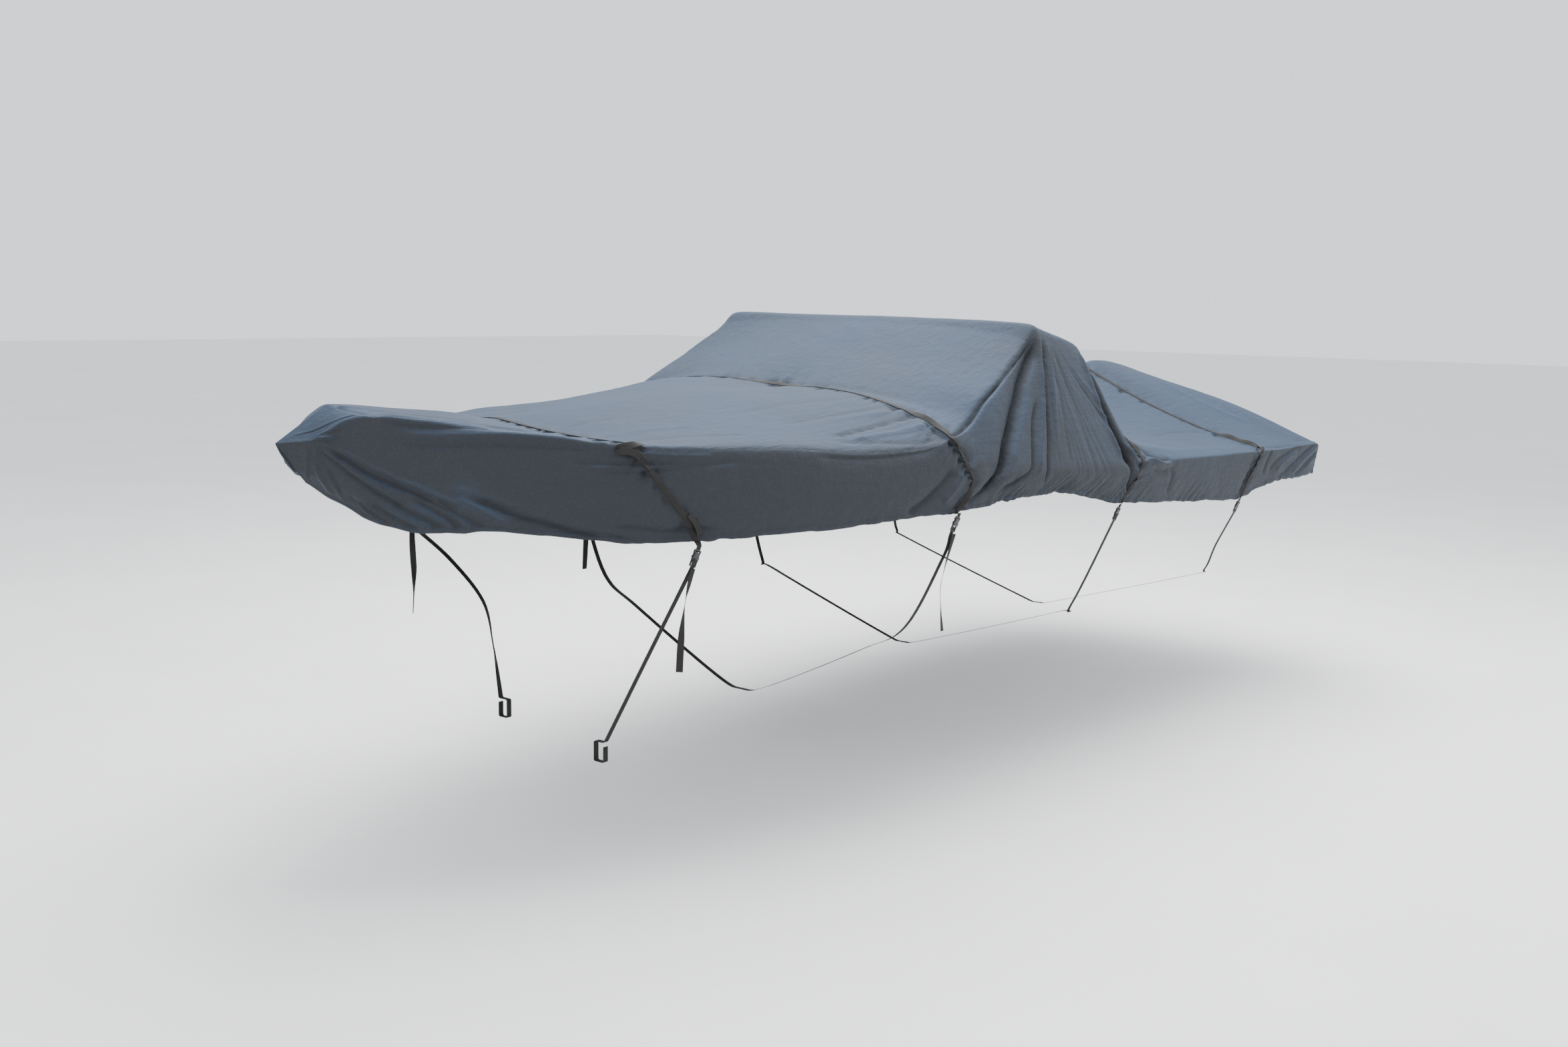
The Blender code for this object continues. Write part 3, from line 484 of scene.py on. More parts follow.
def crease_rise(points, crease, side):
    """The rise that one crease adds: a rounded fold between flanks that run out, unequal, its ends faded."""
    height, half_width = (value / PER_THOUSAND for value in crease[:2])
    skew, starboard_share, *marks = crease[2:]
    route = smooth_route(np.array(marks) / PER_THOUSAND, CREASE_STEPS)
    line = taut_cloth(route[:, 0], side * route[:, 1])
    reach = CREASE_REACH * half_width
    near = np.all((points > line.min(axis=0) - reach) & (points < line.max(axis=0) + reach), axis=-1)
    rise = np.zeros(len(points))
    if near.any():
        gap, along, aft_of = nearest_on(points[near], line)
        width = half_width * (1 + skew * np.tanh(aft_of / (0.3 * half_width)))
        ends = smooth(along / CREASE_TAPER) * smooth((1 - along) / CREASE_TAPER)
        share = 1.0 if side > 0 else starboard_share
        edge = CREASE_EDGE * half_width
        rise[near] = share * height * ends * np.exp(-CREASE_FALL * (np.sqrt(gap**2 + edge**2) - edge) / width)
    return rise


def all_creases(points):
    """The sum of every crease on both sides."""
    flat = points.reshape(-1, 3)
    rise = np.zeros(len(flat))
    for crease in CREASES:
        for side in (1, -1):
            rise += crease_rise(flat, crease, side)
    return rise.reshape(points.shape[:-1])


print("deepest crease:", min(crease[0] for crease in CREASES), "mm")

# %% [markdown]
# ## What sewing and elastic do
#
# A strap is sewn down under tension and draws the cloth into puckers on both sides. The elastic in the
# hem gathers it into short pleats. Between the windshield's corner and the hem the cloth falls in a fan.
# Each follows a rule, so each is a field: noise along the seam, the hem or the fan's angle, fading with
# the distance from it.

# %% Puckers, gathers, the fan and soft waves
PUCKER_PITCH, PUCKER_HEIGHT, PUCKER_REACH = 0.029, 0.0165, 0.032
PUCKER_SLANT, PUCKER_SINK = 0.5, 0.75
GATHER_PITCH, GATHER_FINE_PITCH, GATHER_HEIGHT = 0.023, 0.012, 0.0075
GATHER_REACH, GATHER_SLANT = 0.120, 1.1
FAN_CORNER = (3.24, 1.96)  # station and height of the windshield's top corner
FAN_PITCH, FAN_HEIGHT, FAN_FROM = 0.060, 0.0026, -0.46  # angles in radians, and a height in metres
WAVE_SIZES = ((0.42, 0.0022), (0.15, 0.0013), (0.055, 0.0006))  # how long and how high
STRAP_SHADE = 0.011  # how much deeper the cloth beside a strap counts as, for its colour
STRAP_SHADE_REACH = 0.012
STRAP_BED = (0.0105, 0.0200)  # from a strap's middle to where the cloth is even, and to where it is free


def strap_line(strap, girth):
    """The station at which a strap crosses each part of the girth."""
    return round_section(np.abs(girth), *strap)


def puckers(station, girth, round_length):
    """Pinched ridges across each strap's seam, longest ahead of it and none under it, and its shade."""
    rise = np.zeros_like(station)
    bed = np.ones_like(station)
    beside_strap = np.zeros_like(station)
    for number, strap in enumerate(STRAPS):
        off = station - strap_line(strap, girth)
        away = np.maximum(np.abs(off) - STRAP_BED[0], 0)
        lean = PUCKER_SLANT * off * np.sign(girth)
        across = ridged((round_length + lean) / PUCKER_PITCH, 40 * number + 20 * (off > 0)) - PUCKER_SINK
        strong = 0.70 + 0.45 * noise(round_length / 0.17, 90 + number)
        reach = PUCKER_REACH * (1 + 0.6 * noise(round_length / 0.06, 140 + number) + 0.4 * (off < 0))
        rise += PUCKER_HEIGHT * strong * across * np.exp(-away / reach)
        patchy = 0.6 + 0.6 * noise(round_length / 0.05, 60 + number)
        beside_strap += patchy * np.exp(-away / STRAP_SHADE_REACH)
        bed *= smooth((np.abs(off) - STRAP_BED[0]) / (STRAP_BED[1] - STRAP_BED[0]))
    return rise, bed, beside_strap


def gathers(station, above_hem):
    """Pleats over the elastic that lean aft as they rise, deepest between the second and third straps."""
    aft = smooth((station - 2.45) / 0.4)
    lean = GATHER_SLANT * above_hem * aft
    behind_windshield = smooth((station - 3.7) / 0.2)
    at_bow = 1 - smooth(station / 0.8)
    deep = 0.30 + 0.70 * aft - 0.45 * behind_windshield + 0.4 * at_bow
    uneven = 0.55 + 0.6 * noise(station / 0.16, 211)
    reach = GATHER_REACH * (1 + 0.4 * noise(station / 0.06, 217)) * (0.30 + 0.70 * aft)
    pleats = noise((station - lean) / GATHER_PITCH, above_hem / 0.12)
    pleats = pleats + 0.5 * noise((station - lean) / GATHER_FINE_PITCH, 9)
    return GATHER_HEIGHT * deep * uneven * pleats * np.exp(-((above_hem / reach) ** 1.5))


def fan(points, girth):
    """Fine pleats that spread aft of the sharp fold, from the windshield's top corner to the gunwale."""
    station = points[..., 1] + WINDSHIELD_STATION
    drop = FAN_CORNER[1] - (points[..., 2] - GROUND)
    angle = np.arctan2(station - FAN_CORNER[0], np.maximum(drop, 0.02))
    low = smooth((np.abs(girth) - SHOULDER_AT) / 0.05) * smooth((0.92 - np.abs(girth)) / 0.08)
    low *= smooth((angle - FAN_FROM) / 0.10) * smooth((3.66 - station) / 0.12) * smooth(drop / 0.35)
    pleats = ridged(angle / FAN_PITCH, 31 + 4 * (girth < 0)) - 0.3
    return FAN_HEIGHT * low * pleats * (0.6 + 0.9 * noise(angle / 0.13, 77))


def waves(points):
    """Soft waves of a few sizes, as noise of the place on the plan and up the walls, weakest at the bow."""
    rise = np.zeros(points.shape[:-1])
    for size, height in WAVE_SIZES:
        x, y, z = (points[..., k] / size for k in range(3))
        rise += height * noise(x + 0.6 * z + 50, 0.7 * y + 60) * noise(y - 0.5 * z + 80, 0.4 * x + 20) * 1.6
    return rise * (0.25 + 0.75 * smooth((points[..., 1] + WINDSHIELD_STATION - 0.25) / 0.6))


print("pucker pitch", PUCKER_PITCH, "gather pitch", GATHER_PITCH)

# %% [markdown]
# ## The hem
#
# The hem is the cloth's own edge, turned under round an elastic cord and stitched. It shows as a round
# bead along the edge, a shallow line where the stitches pull, and an edge that isn't quite straight.

# %% The finished surface
HEM_BEAD, HEM_BEAD_RISE = 0.010, 0.0028
HEM_STITCH_AT, HEM_STITCH_DIP, HEM_STITCH_WIDE = 0.027, 0.0012, 0.0035
HEM_WANDER, HEM_WANDER_PITCH, HEM_WANDER_REACH = 0.004, 0.05, 0.04
TIP_FADE = 0.10  # the length of the bow over which puckers, gathers and the hem's bead begin


def hem_form(above_hem):
    """A bead as a half circle over the elastic, then a dip as a bell curve at the stitches."""
    bead = np.sqrt(np.clip(1 - ((above_hem - HEM_BEAD) / HEM_BEAD) ** 2, 0, 1))
    stitches = np.exp(-(((above_hem - HEM_STITCH_AT) / HEM_STITCH_WIDE) ** 2))
    return HEM_BEAD_RISE * bead - HEM_STITCH_DIP * stitches


def dressed_cloth(station, girth):
    """The outer face with every crease, its taut normal, and its rise, less the shade beside straps."""
    points = taut_cloth(station, girth)
    normal = outward(taut_cloth, station, girth)
    steps = np.linalg.norm(np.diff(points, axis=1), axis=2)
    from_starboard = np.concatenate([np.zeros((len(points), 1)), np.cumsum(steps, axis=1)], axis=1)
    whole = from_starboard[:, -1:]
    above_hem = np.minimum(from_starboard, whole - from_starboard)
    round_length = np.abs(from_starboard - whole / 2)
    drawn, bed, beside_strap = puckers(station, girth, round_length)
    pulled = drawn + gathers(station, above_hem) + fan(points, girth) + waves(points)
    away_from_tip = smooth((station - stem(girth)) / TIP_FADE)
    rise = all_creases(points) + bed * pulled * away_from_tip + hem_form(above_hem) * away_from_tip
    at_hem = np.exp(-above_hem / HEM_WANDER_REACH) * away_from_tip * bed
    points = points + rise[..., None] * normal
    wander = noise(station / HEM_WANDER_PITCH, 300 + 9 * (girth > 0))
    points[..., 2] += HEM_WANDER * wander * at_hem
    return points, normal, rise - STRAP_SHADE * beside_strap


print("the hem's bead stands out", HEM_BEAD_RISE, "m")

# %% [markdown]
# ## From a surface to a mesh
#
# A grid of points becomes a mesh with one face for each cell. `foreach_set` and `from_pydata` take whole
# arrays, which is quick. The cloth's own measures in metres go into a UV map for the weave, and the rise
# of its creases into an attribute, so that the material can paint shade into the troughs.

# %% Mesh helpers


def grid_mesh(name, points, uv=None, wrap=False, caps=False):
    """A mesh over a grid of points, closed round its second direction if it wraps, with end caps if asked."""
    rows, columns = points.shape[:2]
    index = np.arange(rows * columns).reshape(rows, columns)
    right = np.roll(index, -1, axis=1) if wrap else index[:, 1:]
    left = index if wrap else index[:, :-1]
    faces = np.stack([left[:-1], right[:-1], right[1:], left[1:]], axis=-1).reshape(-1, 4).tolist()
    if caps:
        faces += [index[0, ::-1].tolist(), index[-1].tolist()]
    mesh = bpy.data.meshes.new(name)
    mesh.from_pydata(points.reshape(-1, 3).tolist(), [], faces)
    if uv is not None:
        corner = np.empty(len(mesh.loops), np.int32)
        mesh.loops.foreach_get("vertex_index", corner)
        layer = mesh.uv_layers.new(name="cloth_metres")
        layer.data.foreach_set("uv", uv.reshape(-1, 2)[corner].astype(np.float32).ravel())
    mesh.shade_smooth()
    return mesh


def add_object(name, data):
    made = bpy.data.objects.new(name, data)
    bpy.context.scene.collection.objects.link(made)
    return made


def add_piece(name, mesh, finish, *nodes, slot):
    """An object at the origin that rides on the root, stands for its CAD nodes, and has a finish."""
    mesh.materials.append(finish)
    piece = add_object(name, mesh)
    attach(piece, "root")
    if nodes:
        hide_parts(*nodes)
    return piece


def add_attribute(mesh, name, values):
    attribute = mesh.attributes.new(name, "FLOAT", "POINT")
    attribute.data.foreach_set("value", values.astype(np.float32).ravel())


print("helpers ready")

# %% [markdown]
# ## Shared shader groups
#
# Two effects come back in several materials. `woven` is the texture of crossing threads, worked out from
# the piece's own UV map in metres. `weathered_and_skylit` colours what faces up paler, partly as sun and dust
# fade and partly as painted sky light, and less what lies low. Each is built once as a node group, and every
# material sets its own values.

# %% Build the groups


def new_group(name, inputs, outputs):
    """An empty shader group with named sockets: (name, type, default) rows in, (name, type) rows out."""
    group = bpy.data.node_groups.new(name, "ShaderNodeTree")
    for label, kind, value in inputs:
        socket = group.interface.new_socket(label, in_out="INPUT", socket_type=kind)
        if value is not None:
            socket.default_value = value
    for label, kind in outputs:
        group.interface.new_socket(label, in_out="OUTPUT", socket_type=kind)
    return group, group.nodes.new("NodeGroupInput"), group.nodes.new("NodeGroupOutput")


class Wiring:
    """Short words for adding nodes to a tree and linking them."""

    def __init__(self, tree):
        self.tree = tree

    def feed(self, socket, value):
        if isinstance(value, bpy.types.NodeSocket):
            self.tree.links.new(value, socket)
        elif value is not None:
            socket.default_value = value

    def math(self, operation, a, b=None, clamp=False):
        node = self.tree.nodes.new("ShaderNodeMath")
        node.operation = operation
        node.use_clamp = clamp
        self.feed(node.inputs[0], a)
        self.feed(node.inputs[1], b)
        return node.outputs[0]

    def noise(self, vector, scale, detail=3.0, roughness=0.55):
        node = self.tree.nodes.new("ShaderNodeTexNoise")
        self.feed(node.inputs["Vector"], vector)
        self.feed(node.inputs["Scale"], scale)
        self.feed(node.inputs["Detail"], detail)
        self.feed(node.inputs["Roughness"], roughness)
        return node.outputs["Fac"]

    def remap(self, value, low, high, to_low=0.0, to_high=1.0):
        node = self.tree.nodes.new("ShaderNodeMapRange")
        for socket, given in zip(node.inputs, (value, low, high, to_low, to_high)):
            self.feed(socket, given)
        return node.outputs[0]

    def mix(self, share, a, b):
        node = self.tree.nodes.new("ShaderNodeMix")
        node.data_type = "RGBA"
        self.feed(node.inputs[0], share)
        self.feed(node.inputs[6], a)
        self.feed(node.inputs[7], b)
        return node.outputs[2]


def build_woven():
    """Plain weave: two waves of the UV in metres, crossed so that each thread passes over and under."""
    group, given, made = new_group(
        "woven",
        [("UV", "NodeSocketVector", None), ("Threads a metre", "NodeSocketFloat", 1600.0)],
        [("Height", "NodeSocketFloat")],
    )
    w = Wiring(group)
    split = group.nodes.new("ShaderNodeSeparateXYZ")
    w.feed(split.inputs[0], given.outputs["UV"])
    waves_of = []
    for axis in (0, 1):
        turns = w.math("MULTIPLY", split.outputs[axis], given.outputs["Threads a metre"])
        waves_of.append(w.math("SINE", w.math("MULTIPLY", turns, np.pi)))
    height = w.math("MULTIPLY_ADD", w.math("MULTIPLY", *waves_of), 0.5)
    height.node.inputs[2].default_value = 0.5
    w.feed(made.inputs["Height"], height)
    return group


def build_weathered_and_skylit():
    """Sun fade, dust and painted sky light: colour moves to its paler one by facing up, by the rise given and
    by noise.
    """
    group, given, made = new_group(
        "weathered_and_skylit",
        [
            ("Color", "NodeSocketColor", (0.1, 0.1, 0.1, 1)),
            ("Faded Color", "NodeSocketColor", (0.2, 0.2, 0.2, 1)),
            ("Place", "NodeSocketVector", None),
            ("Rise", "NodeSocketFloat", 0.0),
            ("Mottle", "NodeSocketFloat", 0.3),
        ],
        [("Color", "NodeSocketColor"), ("Fade", "NodeSocketFloat")],
    )
    w = Wiring(group)
    normal = group.nodes.new("ShaderNodeNewGeometry").outputs["Normal"]
    split = group.nodes.new("ShaderNodeSeparateXYZ")
    w.feed(split.inputs[0], normal)
    # What faces up is coloured paler: partly sun fade and dust, partly painted sky light.
    facing_up = w.remap(split.outputs["Z"], 0.1, 0.95)
    patches = w.noise(given.outputs["Place"], 2.3, 4.0)
    specks = w.noise(given.outputs["Place"], 55.0, 5.0, 0.7)
    mottle = w.math("ADD", w.remap(patches, 0.3, 0.7, -0.5, 0.5), w.remap(specks, 0.3, 0.7, -0.35, 0.35))
    uneven = w.math("MULTIPLY", mottle, given.outputs["Mottle"])
    fade_and_skylight = w.math("ADD", w.math("ADD", w.math("MULTIPLY", facing_up, 0.62), given.outputs["Rise"]), uneven)
    fade_and_skylight = w.math("ADD", fade_and_skylight, 0.15, clamp=True)
    w.feed(made.inputs["Color"], w.mix(fade_and_skylight, given.outputs["Color"], given.outputs["Faded Color"]))
    w.feed(made.inputs["Fade"], fade_and_skylight)
    return group


WOVEN = build_woven()
WEATHERED_AND_SKYLIT = build_weathered_and_skylit()
print("shader groups:", WOVEN.name, WEATHERED_AND_SKYLIT.name)

# %% [markdown]
# ## The cover's cloth
#
# It is a slate-blue polyester with a dull coating. Up close it has a fine plain weave and small crumples
# from being folded in a bag. The tops are coloured paler than the walls: partly dust, partly painted sky
# light. The troughs of creases carry painted shade. The crumples are too small for the mesh, so they are
# bump, and everything larger is real shape.

# %% Materials


def new_material(name, roughness, specular=0.5):
    made = bpy.data.materials.new(name)
    made.use_nodes = True
    shader = made.node_tree.nodes["Principled BSDF"]
    shader.inputs["Roughness"].default_value = roughness
    shader.inputs["Specular IOR Level"].default_value = specular
    return made, Wiring(made.node_tree), shader


def object_place(w):
    return w.tree.nodes.new("ShaderNodeTexCoord").outputs["Object"]


def cloth_metres(w):
    uv = w.tree.nodes.new("ShaderNodeUVMap")
    uv.uv_map = "cloth_metres"
    return uv.outputs["UV"]


def use_group(w, group, **values):
    node = w.tree.nodes.new("ShaderNodeGroup")
    node.node_tree = group
    for label, value in values.items():
        w.feed(node.inputs[label.replace("_", " ")], value)
    return node


def add_bump(w, shader, heights):
    """A chain of bumps, one for each (height, distance, strength)."""
    normal = None
    for height, distance, strength in heights:
        bump = w.tree.nodes.new("ShaderNodeBump")
        bump.inputs["Strength"].default_value = strength
        bump.inputs["Distance"].default_value = distance
        w.feed(bump.inputs["Height"], height)
        w.feed(bump.inputs["Normal"], normal)
        normal = bump.outputs["Normal"]
    w.feed(shader.inputs["Normal"], normal)


DRAWN_STRETCH = (8.0, 1.0, 8.0)  # the straps draw fine wrinkles out along the boat


def cover_cloth():
    """Coated slate-blue polyester: paler where it faces up, partly fade and partly painted sky light, with
    painted shade nearly black in troughs, finely crumpled.
    """
    made, w, shader = new_material("cover_cloth_woven", 0.62, 0.12)
    place = object_place(w)
    rise = w.tree.nodes.new("ShaderNodeAttribute")
    rise.attribute_name = "rise"
    # Painted shade: crease troughs and the cloth beside straps count as less faded, so they are coloured
    # darker.
    painted_crease_shade = w.remap(rise.outputs["Fac"], -0.011, 0.003, -0.42, -0.12)
    # The faded colour is paler and bluer: partly sun fade and dust, partly painted sky light on what faces
    # up.
    colours = {"Color": (0.0205, 0.0240, 0.0300, 1), "Faded_Color": (0.0325, 0.0560, 0.0975, 1)}
    weathered_and_skylit = use_group(w, WEATHERED_AND_SKYLIT, Place=place, Rise=painted_crease_shade, Mottle=0.20, **colours)
    grains = w.remap(w.noise(place, 170.0, 2.0), 0.50, 0.68, 0.0, 0.5)
    shaded = w.math("MULTIPLY", grains, w.math("SUBTRACT", 1.0, weathered_and_skylit.outputs["Fade"]))
    dust_and_painted_light = w.mix(shaded, weathered_and_skylit.outputs["Color"], (0.040, 0.030, 0.022, 1))
    # Painted shade: deep crease troughs are darkened towards black.
    painted_trough_shade = w.remap(rise.outputs["Fac"], -0.032, -0.006, 0.28, 1.0)
    w.feed(shader.inputs["Base Color"], w.mix(painted_trough_shade, (0.0, 0.0, 0.0, 1), dust_and_painted_light))
    w.feed(shader.inputs["Roughness"], w.remap(weathered_and_skylit.outputs["Fade"], 0.0, 1.0, 0.58, 0.78))
    shader.inputs["Sheen Weight"].default_value = 0.06
    shader.inputs["Sheen Roughness"].default_value = 0.5
    shader.inputs["Sheen Tint"].default_value = (0.55, 0.75, 1.0, 1)
    stretched = w.tree.nodes.new("ShaderNodeVectorMath")
    stretched.operation = "MULTIPLY"
    w.feed(stretched.inputs[0], place)
    stretched.inputs[1].default_value = DRAWN_STRETCH
    drawn = w.noise(stretched.outputs[0], 4.0, 4.0, 0.6)
    crumple = w.noise(place, 21.0, 6.0, 0.62)
    fine = w.noise(place, 130.0, 3.0, 0.6)
    woven = use_group(w, WOVEN, UV=cloth_metres(w), Threads_a_metre=900.0)
    add_bump(w, shader, (
        (drawn, 0.010, 0.6),
        (crumple, 0.007, 0.65),
        (fine, 0.0012, 0.5),
        (woven.outputs["Height"], 0.0003, 0.35),
    ))
    return made


def webbing():
    """Ribbed webbing: a coarse weave with a bar every 2 mm, fine loose fibres, and a colour lighter where it
    faces up.
    """
    made, w, shader = new_material("webbing_ribbed", 0.75, 0.3)
    place = object_place(w)
    colours = {"Color": (0.0095, 0.0090, 0.0085, 1), "Faded_Color": (0.0150, 0.0138, 0.0128, 1)}
    weathered_and_skylit = use_group(w, WEATHERED_AND_SKYLIT, Place=place, Mottle=0.4, **colours)
    w.feed(shader.inputs["Base Color"], weathered_and_skylit.outputs["Color"])
    woven = use_group(w, WOVEN, UV=cloth_metres(w), Threads_a_metre=520.0)
    frayed = w.noise(place, 400.0, 2.0)
    add_bump(w, shader, ((woven.outputs["Height"], 0.0007, 0.8), (frayed, 0.0004, 0.5)))
    return made


def buckle_plastic():
    """Moulded nylon: a fine spark-eroded grain, scuffed pale in patches."""
    made, w, shader = new_material("buckle_nylon", 0.42, 0.5)
    place = object_place(w)
    scuffs = w.remap(w.noise(place, 160.0, 6.0, 0.75), 0.56, 0.74)
    w.feed(shader.inputs["Base Color"], w.mix(scuffs, (0.005, 0.005, 0.0055, 1), (0.016, 0.016, 0.017, 1)))
    w.feed(shader.inputs["Roughness"], w.remap(scuffs, 0.0, 1.0, 0.36, 0.62))
    add_bump(w, shader, ((w.noise(place, 1500.0, 2.0), 0.0002, 0.5),))
    return made


def floor_paint():
    made, w, shader = new_material("pale_floor", 0.85, 0.2)
    place = object_place(w)
    tone = w.remap(w.noise(place, 1.2, 4.0), 0.3, 0.7)
    w.feed(shader.inputs["Base Color"], w.mix(tone, (0.80, 0.80, 0.80, 1), (0.84, 0.84, 0.84, 1)))
    return made


CLOTH_FINISH = cover_cloth()
WEBBING_FINISH = webbing()
BUCKLE_FINISH = buckle_plastic()
print("materials:", [m.name for m in (CLOTH_FINISH, WEBBING_FINISH, BUCKLE_FINISH)])

# %% [markdown]
# ## The five panels
#
# Each panel runs from seam to seam, where a strap covers the join. The grid's rows follow the seams, so
# only a hair's gap is left between panels. Solidify gives the coated cloth a real thickness, inwards,
# because the face worked out is the outer one.

# %% Make the panels
CLOTH_THICK = 0.0018
SEAM_GAP = 0.0003
GIRTH_CELLS = (84, 56, 24)  # cells from the crown to the shoulder, to the gunwale and to the hem
BOW_CROWDING = 1.5  # rows of the bow's grid crowd towards the tip, where the creases are finest
# Each panel's cut: its width and length, and its area, in metres, before it is sewn. Then its grid's rows.
CUTS = {
    "bow_panel": ((2.15, 1.20), 1.45, 150),
    "foredeck_panel": ((2.75, 1.62), 3.65, 136),
    "windshield_panel": ((3.45, 1.78), 4.90, 150),
    "cockpit_panel": ((2.90, 1.58), 3.75, 118),
    "stern_panel": ((2.90, 1.20), 2.92, 106),
}


def girth_columns():
    """Girths of the grid's columns, even on each run and mirrored."""
    corners = (0, SHOULDER_AT, GUNWALE_AT, 1)
    runs = [np.linspace(a, b, n + 1)[1:] for n, a, b in zip(GIRTH_CELLS, corners[:-1], corners[1:])]
    half = np.concatenate([[0.0], *runs])
    return np.concatenate([-half[:0:-1], half])


def panel_grid(front, rear, rows):
    """Stations and girths of a panel's grid: shares of the way from one seam to the next."""
    girth = girth_columns()
    front_line = stem(girth) + 0.001 if front is None else strap_line(front, girth) + SEAM_GAP / 2
    rear_line = np.full_like(girth, END_STATION) if rear is None else strap_line(rear, girth) - SEAM_GAP / 2
    share = np.linspace(0, 1, rows)[:, None] ** (BOW_CROWDING if front is None else 1.0)
    return front_line + share * (rear_line - front_line), np.broadcast_to(girth, (rows, len(girth)))


def add_panel(name, front, rear):
    flat, area, rows = CUTS[name]
    station, girth = panel_grid(front, rear, rows)
    points, _, rise = dressed_cloth(station, girth)
    if front is None:
        middle = points.shape[1] // 2
        points[0, :, 0] = 0
        points[0, :middle] = points[0, :middle:-1]
    steps = np.linalg.norm(np.diff(taut_cloth(station, girth), axis=1), axis=2)
    round_length = np.concatenate([np.zeros((len(points), 1)), np.cumsum(steps, axis=1)], axis=1)
    uv = np.stack([round_length - round_length[:, -1:] / 2, station], axis=-1)
    mesh = grid_mesh(name, points, uv)
    add_attribute(mesh, "rise", rise)
    piece = add_piece(f"{name}_cloth", mesh, CLOTH_FINISH, name, slot="cover_cloth")
    wall = piece.modifiers.new("cloth_thickness", "SOLIDIFY")
    wall.thickness = CLOTH_THICK
    wall.offset = -1.0
    print(name, points.shape[:2], "rise from", rise.min().round(4), "to", rise.max().round(4))
    return piece


SEAMS = (None, *STRAPS, None)
for panel_name, front_strap, rear_strap in zip(CUTS, SEAMS[:-1], SEAMS[1:]):
    add_panel(panel_name, front_strap, rear_strap)

# %% [markdown]
# ## Webbing
#
# A strap is a flat ribbon with rounded edges. Its cross-section is a superellipse: a circle's formula
# with its powers lowered until it is nearly a rectangle. Carried along a route with a direction for its
# width, it makes the straps sewn over the cloth, the tie-downs and their free ends alike.

# %% A ribbon along a route
RIBBON_POINTS = 16
RIBBON_POWER = (0.22, 0.6)  # nearly square across the width, rounder through the thickness


def strip_mesh(name, middle, across, normal):
    """A superellipse carried along points: middle + x * across + z * normal, closed by two end caps."""
    turn = 2 * np.pi * np.arange(RIBBON_POINTS) / RIBBON_POINTS
    x = np.sign(np.cos(turn)) * np.abs(np.cos(turn)) ** RIBBON_POWER[0] * WEB_WIDTH / 2
    z = np.sign(np.sin(turn)) * np.abs(np.sin(turn)) ** RIBBON_POWER[1] * WEB_THICK / 2
    points = middle[:, None] + x[:, None] * across[:, None] + z[:, None] * normal[:, None]
    run = np.concatenate([[0], np.cumsum(np.linalg.norm(np.diff(middle, axis=0), axis=1))])
    uv = np.stack(np.broadcast_arrays(x, run[:, None]), axis=-1)
    mesh = grid_mesh(name, points, uv, wrap=True, caps=True)
    outwards(mesh)
    return mesh


def ribbon(name, node, *strips):
    """One piece of webbing made of strips, each given as its middle, its width's direction and its normal."""
    made = bmesh.new()
    for strip in strips:
        part = strip_mesh(name, *strip)
        made.from_mesh(part)
        bpy.data.meshes.remove(part)
    mesh = bpy.data.meshes.new(name)
    made.to_mesh(mesh)
    made.free()
    return add_piece(name, mesh, WEBBING_FINISH, node, slot="webbing")


def outwards(mesh):
    """Turns a closed mesh inside out if its volume is negative."""
    mesh.calc_loop_triangles()
    corners = np.empty(3 * len(mesh.loop_triangles), np.int32)
    mesh.loop_triangles.foreach_get("vertices", corners)
    places = np.empty(3 * len(mesh.vertices), np.float32)
    mesh.vertices.foreach_get("co", places)
    a, b, c = np.moveaxis(places.reshape(-1, 3).astype(float)[corners.reshape(-1, 3)], 1, 0)
    if (a * np.cross(b, c)).sum() < 0:
        mesh.flip_normals()


def ribbon_frames(middle, across):
    """The width made square to the route, and the face's normal, at each point."""
    along = unit(np.gradient(middle, axis=0))
    across = unit(across - (across * along).sum(axis=1, keepdims=True) * along)
    return across, np.cross(along, across)


print("ribbon cross-section of", RIBBON_POINTS, "points")

# %% [markdown]
# ## Where the straps end
#
# Each strap leaves the hem and drops to a side-release buckle. Below it a tie-down runs to the trailer:
# the first pair goes round a rail, and the others pass under the keel to the far side.

# %% Buckles, tie-downs and free ends
GAP = 0.0003
LEAD = 0.014
SOCKET_LENGTH = 0.032
PLUG_LENGTH = 0.030
TIES = (  # the buckle's top, its bottom, and the marks that the tie-down passes: out, station, up
    ((0.786, 1.142, 1.188), (0.780, 1.118, 1.130), None),
    ((1.064, 2.345, 1.216), (1.052, 2.322, 1.158),
     ((1.026, 2.300, 1.050), (0.868, 2.280, 0.755), (0.650, 2.280, 0.628), (0.155, 2.280, 0.390),
      (0.0, 2.280, 0.352))),
    ((1.118, 3.575, 1.146), (1.104, 3.555, 1.088),
     ((0.935, 3.500, 0.683), (0.860, 3.500, 0.640), (0.155, 3.500, 0.405), (0.0, 3.500, 0.370))),
    ((1.113, 4.886, 1.060), (1.098, 4.866, 1.002),
     ((1.030, 4.820, 0.830), (0.985, 4.800, 0.700), (0.900, 4.800, 0.655), (0.155, 4.800, 0.425),
      (0.0, 4.800, 0.390))),
)
RAIL_TIES = {  # marks as above, with the way that the width points, in degrees from aft towards port
    "starboard": ((0.640, 1.190, 0.985, 8.0), (0.520, 1.262, 0.815, 20.0), (0.472, 1.272, 0.640, 40.0),
                  (0.440, 1.268, 0.520, 15.0), (0.415, 1.262, 0.430, 0.0)),
    "port": ((0.572, 1.111, 0.778, 0.0), (0.363, 1.104, 0.425, 0.0)),
}
RAIL_SIZE = (0.050, 0.076)
RAIL_BEND = 0.007
RAIL_END = 0.016
